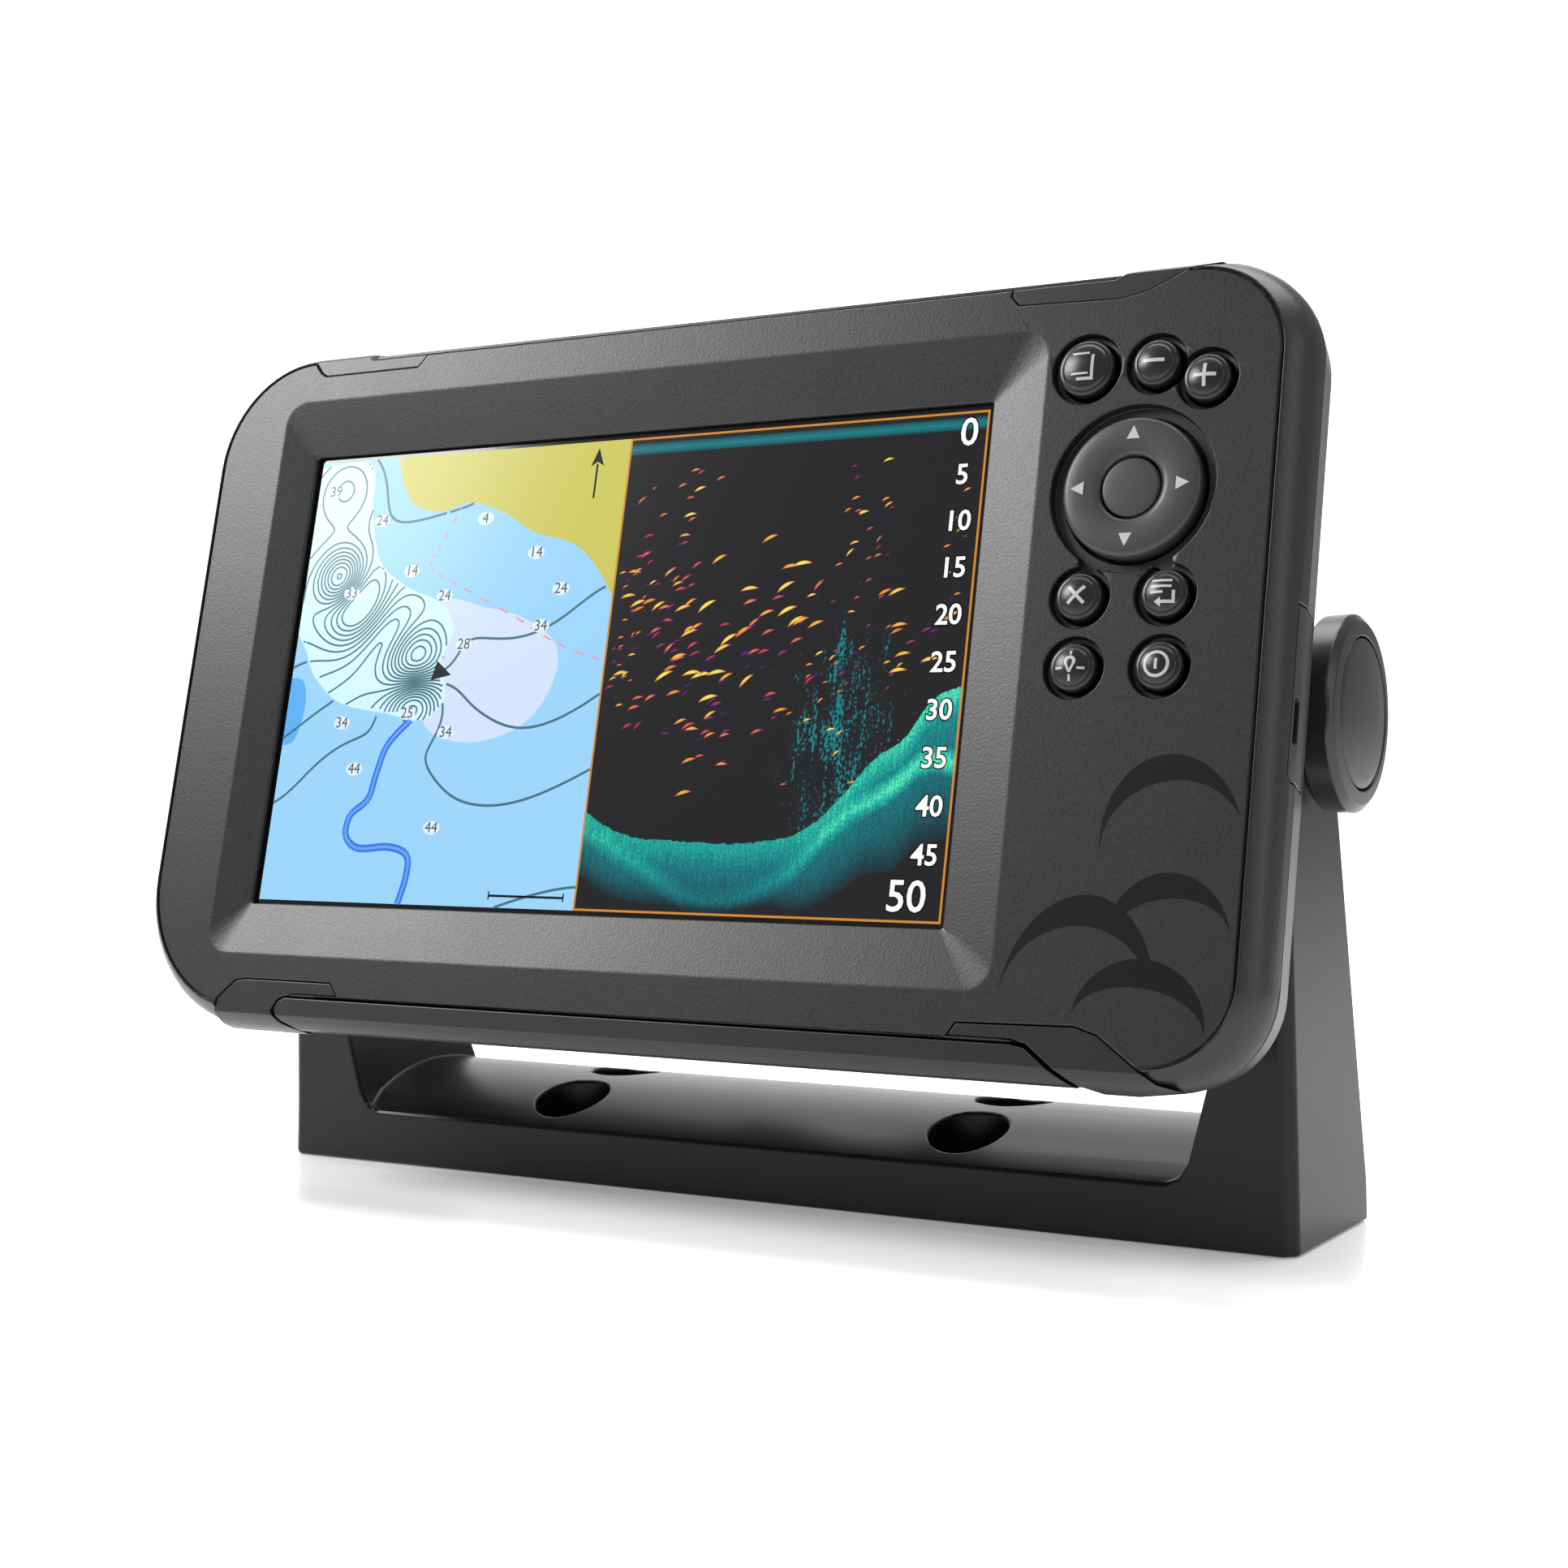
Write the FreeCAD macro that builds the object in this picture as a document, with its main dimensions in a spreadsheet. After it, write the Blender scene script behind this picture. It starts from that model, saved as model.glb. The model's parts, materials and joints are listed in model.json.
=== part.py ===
"""Fish finder: a display head that tilts in a U-shaped bracket, held by two clamp knobs.

Frame: X to the right seen from the front, Y to the back, Z up, origin at the centre of the
bracket's screw pattern on its flat underside. Millimetres.
The head is drawn flat in its own frame: x to the right, y up the face, z out of the face towards
the user, with z = 0 at the screen. HEAD then stands it up, leaning back in the bracket.
"""
import FreeCAD, Part
import math
import os
import Sketcher
from FreeCAD import Placement, Rotation, Vector

doc = FreeCAD.newDocument("fish_finder")

# ---------------------------------------------------------------- driving dimensions
SIZES = {
    # head outline, measured from the middle of the head and the middle of the screen's height
    "head_half": 119.8, "head_top": 69.4, "head_low": 71.0,
    "round_low_right": 17.0, "round_top_right": 18.0, "round_top_left": 24.0, "round_low_left": 28.0,
    "face_out": 3.0, "face_inset": 4.2, "seam_deep": 5.8, "seam_gap": 0.2, "crease_wide": 0.45,
    "door_inset": 0.3,
    # screen, a 7 inch 5:3 display, left of the middle to leave room for the keys
    "view_wide": 152.4, "view_tall": 91.44, "view_off": -14.33, "view_rim": 1.0,
    "recess_left": -99.6, "recess_right": 73.5, "recess_low": -57.1, "recess_top": 58.4,
    # rear case
    "rim_deep": 14.5, "rim_half": 118.3, "waist_deep": 16.8, "waist_half": 99.0,
    "body_half": 94.0, "body_top": 56.0, "body_low": 58.0, "body_deep": 54.0,
    "back_half": 89.0, "back_top": 49.0, "back_low": 50.0, "wall": 2.8,
    # tilt axis in the head and in the room
    "tilt": 12.46, "axis_high": 93.3, "axis_back": -9.0, "axis_behind": 37.4, "axis_above": -0.84,
    # bracket
    "base_half": 112.6, "base_deep": 42.0, "arm_out": 110.6, "arm_in": 97.0, "arm_foot_in": 93.0,
    "arm_end": 14.0, "lip_high": 10.7, "crest_high": 18.9, "rear_high": 17.2, "crest_back": 5.0,
    "foot_back": 15.0, "foot_front": 12.0, "under_deep": 5.6, "edge_cut": 2.0,
    "screw_x": 91.0, "screw_y": 20.4, "screw_hole": 2.6, "screw_sink": 7.6, "sink_floor": 8.0,
    "arm_hole": 4.4,
    # knobs
    "knob_rim": 17.3, "knob_flat": 16.9, "knob_start": 112.4, "knob_end": 120.3, "cap_round": 13.1,
    "stud_round": 4.0, "stud_play": 0.06, "insert_round": 6.0, "boss_round": 13.5,
    # keys: radius of the large page key, of a small key and of the wells around them
    "key_big": 5.0, "key_small": 4.1, "well_more": 1.3, "well_floor": 1.0,
    "key_top": 4.6, "key_gap": 0.3,
    "pad_x": 91.0, "pad_y": 28.6, "pad_round": 12.3, "pad_well": 14.7, "enter_round": 5.2,
    "enter_gap": 0.45,
    # screws that hold the rear case, and those that hold the board: shank and head
    "post_round": 3.2, "shank_round": 1.5, "head_round_small": 2.8,
    # card door in the right-hand side wall
    "door_low": -20.0, "door_high": 9.0, "door_front": 2.9, "door_back": 12.2, "door_thick": 1.5,
    "door_gap": 0.25, "pin_round": 0.6,
}
sheet = doc.addObject("Spreadsheet::Sheet", "Sheet")
for row, (alias, amount) in enumerate(SIZES.items(), start=1):
    sheet.set("A%d" % row, alias)
    sheet.set("B%d" % row, str(amount))
    sheet.setAlias("B%d" % row, alias)
doc.recompute()


def number(formula):
    """The value of a formula on the sheet's names, such as 'head_half - wall'."""
    return float(sheet.evalExpression(str(formula)))


def on_sheet(formula):
    """The same formula as another object reads it, with the sheet's name before each alias."""
    text = str(formula)
    for alias in sorted(SIZES, key=len, reverse=True):
        text = text.replace(alias, "\0%d\0" % list(SIZES).index(alias))
    for place, alias in enumerate(SIZES):
        text = text.replace("\0%d\0" % place, "Sheet." + alias)
    return text


# ---------------------------------------------------------------- frames
LEAN = number("tilt")
SINE, COSINE = math.sin(math.radians(LEAN)), math.cos(math.radians(LEAN))
AXIS_Y, AXIS_Z = number("axis_back"), number("axis_high")
HEAD = Placement(
    Vector(
        0,
        AXIS_Y - number("axis_above") * SINE - number("axis_behind") * COSINE,
        AXIS_Z - number("axis_above") * COSINE + number("axis_behind") * SINE,
    ),
    Rotation(Vector(1, 0, 0), 90 - LEAN),
)


def in_head(x=0.0, y=0.0, z=0.0, turn=None):
    return HEAD.multiply(Placement(Vector(x, y, z), turn or Rotation()))


def side_place(side, start="0"):
    """On the tilt axis, local z pointing out of the right (1) or left (-1) side."""
    return Placement(Vector(side * number(start), AXIS_Y, AXIS_Z), Rotation(Vector(0, 1, 0), 90 * side))


# ---------------------------------------------------------------- drawing helpers
NODES = {}
HEAD_ROUNDS = ["round_low_right", "round_top_right", "round_top_left", "round_low_left"]
# how far the bezel's side wall has turned in at each height, from the seam to the crease
WALL_TURN = [("0", "-seam_deep"), ("0.15", "-3.4"), ("0.9", "-0.8"), ("2.2", "1.2"), ("3.6", "2.6"),
             ("face_inset", "face_out")]


def new_body(label, place=None):
    body = doc.addObject("PartDesign::Body", label)
    body.Label = label
    body.Placement = place or Placement()
    NODES[label] = body
    return body


def sketch_in(body, role="XY_Plane", lift="0"):
    """A sketch on one of the body's own origin planes, lifted along the plane's normal."""
    sketch = body.newObject("Sketcher::SketchObject", body.Name + "_sketch")
    plane = next(f for f in body.Origin.OriginFeatures if f.Role == role)
    sketch.AttachmentSupport = [(plane, "")]
    sketch.MapMode = "FlatFace"
    sketch.setExpression(".AttachmentOffset.Base.z", on_sheet(lift))
    return sketch


def bind(sketch, kind, places, formula):
    index = sketch.addConstraint(Sketcher.Constraint(kind, *places, number(formula)))
    sketch.setExpression("Constraints[%d]" % index, on_sheet(formula))


def circle(sketch, x, y, radius):
    shape = Part.Circle(Vector(number(x), number(y), 0), Vector(0, 0, 1), number(radius))
    index = sketch.addGeometry(shape)
    bind(sketch, "Radius", (index,), radius)
    bind(sketch, "DistanceX", (-1, 1, index, 3), x)
    bind(sketch, "DistanceY", (-1, 1, index, 3), y)


def polygon(sketch, points):
    """A closed outline of straight edges; each corner's two coordinates are formulas."""
    corners = [Vector(number(x), number(y), 0) for x, y in points]
    first = None
    for index, corner in enumerate(corners):
        line = sketch.addGeometry(Part.LineSegment(corner, corners[(index + 1) % len(corners)]))
        first = line if first is None else first
    count = len(corners)
    for index, (x, y) in enumerate(points):
        sketch.addConstraint(Sketcher.Constraint(
            "Coincident", first + index, 2, first + (index + 1) % count, 1))
        bind(sketch, "DistanceX", (-1, 1, first + index, 1), x)
        bind(sketch, "DistanceY", (-1, 1, first + index, 1), y)


def rounded_box(sketch, left, right, low, high, radius):
    """A rectangle with round corners, each side placed by its own formula.

    radius is one formula, or four: low right, top right, top left, low left.
    """
    radii = radius if isinstance(radius, list) else [radius] * 4
    x0, x1, y0, y1 = (number(f) for f in (left, right, low, high))
    low_right, top_right, top_left, low_left = (number(f) for f in radii)
    sides = [((x0 + low_left, y0), (x1 - low_right, y0)), ((x1, y0 + low_right), (x1, y1 - top_right)),
             ((x1 - top_right, y1), (x0 + top_left, y1)), ((x0, y1 - top_left), (x0, y0 + low_left))]
    centres = [(x1 - low_right, y0 + low_right), (x1 - top_right, y1 - top_right),
               (x0 + top_left, y1 - top_left), (x0 + low_left, y0 + low_left)]
    first = sketch.addGeometry(
        [Part.LineSegment(Vector(*a, 0), Vector(*b, 0)) for a, b in sides])[0]
    arcs = []
    for turn, centre in enumerate(centres):
        start = (turn - 1) * math.pi / 2
        ring = Part.Circle(Vector(*centre, 0), Vector(0, 0, 1), number(radii[turn]))
        arcs.append(sketch.addGeometry(Part.ArcOfCircle(ring, start, start + math.pi / 2)))
    for turn in range(4):
        following = first + (turn + 1) % 4
        sketch.addConstraint(Sketcher.Constraint("Tangent", first + turn, 2, arcs[turn], 1))
        sketch.addConstraint(Sketcher.Constraint("Tangent", arcs[turn], 2, following, 1))
        sketch.addConstraint(Sketcher.Constraint(
            "Horizontal" if turn % 2 == 0 else "Vertical", first + turn))
    for arc, formula in zip(arcs, radii):
        bind(sketch, "Radius", (arc,), formula)
    bind(sketch, "DistanceY", (-1, 1, first, 1), low)
    bind(sketch, "DistanceX", (-1, 1, first + 1, 1), right)
    bind(sketch, "DistanceY", (-1, 1, first + 2, 1), high)
    bind(sketch, "DistanceX", (-1, 1, first + 3, 1), left)


def head_outline(sketch, sides, top, low, rounds):
    """The head's outline moved inwards by a formula at its sides, top and foot and in its corners."""
    rounded_box(sketch, "-head_half + (%s)" % sides, "head_half - (%s)" % sides,
                "-head_low + (%s)" % low, "head_top - (%s)" % top,
                ["%s - (%s)" % (name, rounds) for name in HEAD_ROUNDS])


def wall_outline(sketch, turn_in):
    """The head's outline where its side wall has turned in by a formula; less at top and foot."""
    head_outline(sketch, turn_in, *("(%s) * %s" % (turn_in, share) for share in (0.6, 0.7, 0.5)))


def grow(body, sketch, length, kind="Pad", backwards=False, both=False):
    """Pad or pocket a sketch; an unset direction is along the sketch's normal for both."""
    before = body.Shape.Volume if kind == "Pocket" else 0.0
    feature = body.newObject("PartDesign::" + kind, body.Name + "_" + kind.lower())
    feature.Profile = sketch
    feature.setExpression("Length", on_sheet(length))
    feature.Reversed = backwards
    if both:
        feature.Midplane = True
    doc.recompute()
    if kind == "Pocket" and not body.Shape.Volume < before - 1e-6:
        raise ValueError("a pocket cut nothing from " + body.Label)
    return feature


def cut(body, sketch, length, backwards=False, both=False):
    return grow(body, sketch, length, "Pocket", backwards, both)


def loft(body, sections, kind="AdditiveLoft"):
    feature = body.newObject("PartDesign::" + kind, body.Name + "_loft")
    feature.Profile = sections[0]
    feature.Sections = sections[1:]
    feature.Ruled = True
    doc.recompute()
    return feature


def soften(body, radius, chosen, kind="Fillet"):
    """Round (or chamfer) the edges of the body for which chosen(edge) is true."""
    base = body.Tip
    names = ["Edge%d" % n for n, edge in enumerate(base.Shape.Edges, start=1) if chosen(edge)]
    feature = body.newObject("PartDesign::" + kind, body.Name + "_" + kind.lower())
    feature.Base = (base, names)
    feature.setExpression("Radius" if kind == "Fillet" else "Size", on_sheet(radius))
    doc.recompute()
    return feature


def slab(label, left, right, low, high, bottom, top, radius="1", place=None):
    """A flat piece with round corners between two heights."""
    body = new_body(label, place or HEAD)
    outline = sketch_in(body, lift=bottom)
    rounded_box(outline, left, right, low, high, radius)
    grow(body, outline, "(%s) - (%s)" % (top, bottom))
    return body


def disc(label, radius, bottom, top, place, hole=None):
    body = new_body(label, place)
    outline = sketch_in(body, lift=bottom)
    circle(outline, "0", "0", radius)
    if hole:
        circle(outline, "0", "0", hole)
    grow(body, outline, "(%s) - (%s)" % (top, bottom))
    return body


def turned(label, profile, place):
    """A piece turned about its local z axis from an outline of (radius, height) corners."""
    body = new_body(label, place)
    outline = sketch_in(body, "XZ_Plane")
    polygon(outline, profile)
    spin = body.newObject("PartDesign::Revolution", label + "_turned")
    spin.Profile = outline
    spin.ReferenceAxis = (outline, ["V_Axis"])
    spin.Angle = 360.0
    doc.recompute()
    return body


def group(label, spots, radius, bottom, top, place=None):
    """Equal round pieces that share one node: one pad of several circles."""
    body = new_body(label, place or HEAD)
    outline = sketch_in(body, lift=bottom)
    for x, y in spots:
        circle(outline, x, y, radius)
    grow(body, outline, "(%s) - (%s)" % (top, bottom))
    return body


# ---------------------------------------------------------------- shared positions
KEYS = {
    "pages_key": (80.9, 50.4, "key_big"),
    "zoom_out_key": (93.6, 50.3, "key_small"),
    "zoom_in_key": (102.8, 47.0, "key_small"),
    "exit_key": (83.3, 9.9, "key_small"),
    "menu_key": (98.5, 9.9, "key_small"),
    "waypoint_key": (83.3, -2.3, "key_small"),
    "power_key": (98.5, -2.3, "key_small"),
}
NECKS = [84.2, 97.6]
CASE_SCREWS = [(-105, 56), (105, 56), (-105, -58.5), (105, -58.5), (-10, 60.6), (-10, -61.8)]
BOARD_SCREWS = [(-72, 36), (60, 36), (-72, -36), (60, -36)]
SOCKETS = {"power_socket": (-22, -24), "sonar_socket": (16, -24)}
HINGE = ("head_half - 2.2", "-door_back + 0.9")
PAD_DOMES = [(0, 9), (0, -9), (9, 0), (-9, 0), (0, 0)]

# outlines of the four corner clips on the face, and the seats cut for them in the bezel
CLIPS = {
    "clip_top_left": [(-95.5, 68.9), (-92.0, 64.6), (-90.6, 63.8), (-66.6, 63.8), (-64.4, 66.4),
                      (-79.0, 66.4), (-80.5, 69.0), (-95.0, 69.2)],
    "clip_top_right": [(65.4, 66.4), (65.4, 65.0), (66.8, 63.4), (86.0, 62.8), (91.0, 63.8),
                       (97.5, 66.8), (103.5, 68.0), (103.0, 69.0), (90.0, 69.0), (84.6, 66.4)],
    "clip_bottom_left": [(-96.0, -71.5), (-95.0, -66.2), (-91.0, -62.6), (-88.4, -62.1),
                         (-66.6, -62.1), (-64.6, -64.6), (-76.0, -64.6), (-79.4, -65.6),
                         (-81.0, -67.9), (-79.4, -70.2), (-76.0, -71.6)],
    "clip_bottom_right": [(66.4, -64.6), (67.8, -62.4), (89.0, -62.0), (93.0, -63.2), (103.0, -70.2),
                          (106.0, -70.8), (94.0, -72.4), (88.5, -71.0), (80.6, -65.2), (78.0, -64.6)],
}


# ---------------------------------------------------------------- bracket
def make_bracket():
    """One-piece moulded bracket: a shallow arched base between two tall tapering arms."""
    body = new_body("bracket")
    side = sketch_in(body, "YZ_Plane")
    half, y, z, r = (number(f) for f in ("base_deep / 2", "axis_back", "axis_high", "arm_end"))
    rear_foot, front_foot = Vector(half, number("foot_back"), 0), Vector(-half, number("foot_front"), 0)
    centre = Vector(y, z, 0)

    def touch(foot, turn):
        away = foot - centre
        reach = math.acos(r / away.Length) * turn + math.atan2(away.y, away.x)
        return centre + Vector(math.cos(reach), math.sin(reach), 0) * r

    rear_touch, front_touch = touch(rear_foot, 1), touch(front_foot, -1)
    crown = centre + Vector(0, r, 0)
    outline = [Part.LineSegment(Vector(-half, 0, 0), Vector(half, 0, 0)),
               Part.LineSegment(Vector(half, 0, 0), rear_foot),
               Part.LineSegment(rear_foot, rear_touch),
               Part.Arc(rear_touch, crown, front_touch),
               Part.LineSegment(front_touch, front_foot),
               Part.LineSegment(front_foot, Vector(-half, 0, 0))]
    side.addGeometry(outline)
    for index in range(6):
        meet = "Tangent" if index in (2, 3) else "Coincident"
        side.addConstraint(Sketcher.Constraint(meet, index, 2, (index + 1) % 6, 1))
    bind(side, "Radius", (3,), "arm_end")
    bind(side, "DistanceX", (-1, 1, 3, 3), "axis_back")
    bind(side, "DistanceY", (-1, 1, 3, 3), "axis_high")
    bind(side, "DistanceX", (-1, 1, 0, 1), "-base_deep / 2")
    bind(side, "DistanceY", (-1, 1, 0, 1), "0")
    bind(side, "DistanceX", (-1, 1, 0, 2), "base_deep / 2")
    bind(side, "DistanceY", (-1, 1, 0, 2), "0")
    bind(side, "DistanceX", (-1, 1, 1, 2), "base_deep / 2")
    bind(side, "DistanceY", (-1, 1, 1, 2), "foot_back")
    bind(side, "DistanceX", (-1, 1, 4, 2), "-base_deep / 2")
    bind(side, "DistanceY", (-1, 1, 4, 2), "foot_front")
    grow(body, side, "base_half * 2", both=True)

    # each arm leans in a little, from its foot to its top
    for turn in ("", "-"):
        taper = sketch_in(body, "XZ_Plane")
        polygon(taper, [(turn + "base_half", "0"), (turn + "arm_out", "axis_high + arm_end"),
                        (turn + "arm_out", "120"), (turn + "130", "120"), (turn + "130", "0")])
        cut(body, taper, "100", both=True)
    gap = sketch_in(body, "XZ_Plane")
    polygon(gap, [("-88.5", "lip_high"), ("88.5", "lip_high"), ("91.2", "lip_high + 1.2"),
                  ("arm_foot_in", "lip_high + 4"), ("arm_in", "30"), ("arm_in", "120"),
                  ("-arm_in", "120"), ("-arm_in", "30"), ("-arm_foot_in", "lip_high + 4"),
                  ("-91.2", "lip_high + 1.2")])
    cut(body, gap, "100", both=True)

    arch = sketch_in(body, "YZ_Plane")
    front = Vector(-half, number("lip_high"), 0)
    top = Vector(number("crest_back"), number("crest_high"), 0)
    rear = Vector(half, number("rear_high"), 0)
    low = number("under_deep")
    arch.addGeometry([Part.LineSegment(Vector(-half, low, 0), Vector(half, low, 0)),
                      Part.LineSegment(Vector(half, low, 0), rear),
                      Part.Arc(rear, top, front),
                      Part.LineSegment(front, Vector(-half, low, 0))])
    for index in range(4):
        arch.addConstraint(Sketcher.Constraint("Coincident", index, 2, (index + 1) % 4, 1))
    for index, x, y in ((0, "-base_deep / 2", "under_deep"), (1, "base_deep / 2", "under_deep"),
                        (2, "base_deep / 2", "rear_high"), (3, "-base_deep / 2", "lip_high")):
        bind(arch, "DistanceX", (-1, 1, index, 1), x)
        bind(arch, "DistanceY", (-1, 1, index, 1), y)
    grow(body, arch, "arm_in * 2", both=True)

    sinks = sketch_in(body, lift="30")
    holes = sketch_in(body, lift="30")
    for sx in ("-screw_x / 2", "screw_x / 2"):
        for sy in ("-screw_y / 2", "screw_y / 2"):
            circle(sinks, sx, sy, "screw_sink")
            circle(holes, sx, sy, "screw_hole")
    cut(body, sinks, "30 - sink_floor")
    cut(body, holes, "40")
    axle = sketch_in(body, "YZ_Plane")
    circle(axle, "axis_back", "axis_high", "arm_hole")
    cut(body, axle, "300", both=True)

    # hollow underside between the screw bosses, as a moulding has
    under = sketch_in(body)
    for left, right in (("-106", "-57"), ("-34", "-2"), ("2", "34"), ("57", "106")):
        rounded_box(under, left, right, "-base_deep / 2 + 3.5", "base_deep / 2 - 3.5", "2")
    cut(body, under, "under_deep", backwards=True)

    def front_outer(edge):
        box = edge.BoundBox
        return box.ZLength > 8 and box.YMax < -15 and abs(box.XMin) > 105
    soften(body, "edge_cut", front_outer, "Chamfer")


# ---------------------------------------------------------------- housing
def make_front_bezel():
    """Front moulding: face, sloping screen surround, key wells and a deep side wall."""
    body = new_body("front_bezel", HEAD)
    levels = []
    for turn_in, height in WALL_TURN:
        levels.append(sketch_in(body, lift=height))
        wall_outline(levels[-1], turn_in)
    loft(body, levels)
    # a fine crease where the wall meets the face
    crease = sketch_in(body, lift="face_out")
    for turn_in in ("face_inset", "face_inset + crease_wide"):
        wall_outline(crease, turn_in)
    cut(body, crease, "0.7")
    rim = sketch_in(body, lift="face_out")
    rounded_box(rim, "recess_left", "recess_right", "recess_low", "recess_top", "5")
    floor = sketch_in(body, lift="1")
    window = ["view_off - view_wide / 2 - view_rim", "view_off + view_wide / 2 + view_rim",
              "-view_tall / 2 - view_rim", "view_tall / 2 + view_rim", "0.8"]
    rounded_box(floor, *window)
    loft(body, [rim, floor], "SubtractiveLoft")
    opening = sketch_in(body, lift="2")
    rounded_box(opening, *window)
    cut(body, opening, "20")
    hollow = sketch_in(body, lift="-seam_deep")
    head_outline(hollow, "5.6", "8.2", "10.4", "6")
    cut(body, hollow, "seam_deep", backwards=True)

    wells = sketch_in(body, lift="face_out")
    circle(wells, "pad_x", "pad_y", "pad_well")
    for name in ("pages_key", "zoom_out_key", "exit_key", "menu_key", "waypoint_key", "power_key"):
        x, y, radius = KEYS[name]
        circle(wells, x, y, radius + " + well_more")
    cut(body, wells, "face_out - well_floor")
    # the zoom-in well runs into the zoom-out one, and necks join the pad's well to two more
    x, y, radius = KEYS["zoom_in_key"]
    joined = sketch_in(body, lift="face_out")
    circle(joined, x, y, radius + " + well_more")
    cut(body, joined, "face_out - well_floor")
    for x in NECKS:
        neck = sketch_in(body, lift="face_out")
        rounded_box(neck, x - 1.6, x + 1.6, 13.0, 17.5, "0.5")
        cut(body, neck, "face_out - well_floor")
    holes = sketch_in(body, lift="2")
    circle(holes, "pad_x", "pad_y", "pad_round + 0.5")
    for x, y, radius in KEYS.values():
        circle(holes, x, y, radius + " + key_gap")
    cut(body, holes, "10")

    for label, points in CLIPS.items():
        seat = sketch_in(body, lift="face_out + 1")
        polygon(seat, widened(points, 0.15))
        cut(body, seat, "20")
    bottom_seat = sketch_in(body, lift="face_out + 1")
    polygon(bottom_seat, [(-81.2, -65.0), (88, -65.0), (98, -74), (-81.2, -74)])
    cut(body, bottom_seat, "20")
    top_seat = sketch_in(body, lift="face_out + 1")
    polygon(top_seat, [(-80, 66.2), (87, 66.2), (92, 74), (-80, 74)])
    cut(body, top_seat, "20")

    door = sketch_in(body, "YZ_Plane", lift="110")
    polygon(door, [("door_low - door_gap", "-seam_deep - 1"), ("door_high + door_gap", "-seam_deep - 1"),
                   ("door_high + door_gap", "-door_front + door_gap"),
                   ("door_low + 1", "-door_front + door_gap"),
                   ("door_low - door_gap", "-door_front - 1.4")])
    cut(body, door, "20", backwards=True)

    posts = sketch_in(body, lift="0.2")
    for x, y in CASE_SCREWS:
        circle(posts, x, y, "post_round")
    grow(body, posts, "11.6", backwards=True)
    bores = sketch_in(body, lift="-11.4")
    for x, y in CASE_SCREWS:
        circle(bores, x, y, "shank_round")
    cut(body, bores, "9", backwards=True)


def widened(points, gap):
    """The outline of a seat: every side of a piece's outline moved out by the gap."""
    corners = [Vector(x, y, 0) for x, y in points]
    wire = Part.makePolygon(corners + corners[:1])
    return [(v.X, v.Y) for v in wire.makeOffset2D(gap, 2).OrderedVertexes]


def make_clips_and_trims():
    for label, points in CLIPS.items():
        body = new_body(label, HEAD)
        outline = sketch_in(body, lift="-seam_deep + 0.2")
        polygon(outline, points)
        grow(body, outline, "seam_deep + face_out - 0.5")
    bottom = new_body("bottom_trim", HEAD)
    outline = sketch_in(bottom, lift="-seam_deep + 0.2")
    polygon(outline, [(-77.8, -65.3), (77.8, -65.3), (80.4, -65.9), (87.6, -71.2), (-76.4, -71.2),
                      (-79.0, -69.8), (-80.2, -67.8), (-79.4, -66.2)])
    grow(bottom, outline, "seam_deep + face_out - 0.5")
    top = new_body("top_trim", HEAD)
    outline = sketch_in(top, lift="-seam_deep + 0.2")
    polygon(outline, [(-78.4, 66.7), (84.4, 66.7), (85.4, 67.5), (-78.8, 67.5)])
    grow(top, outline, "seam_deep + face_out - 1.5")


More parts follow.
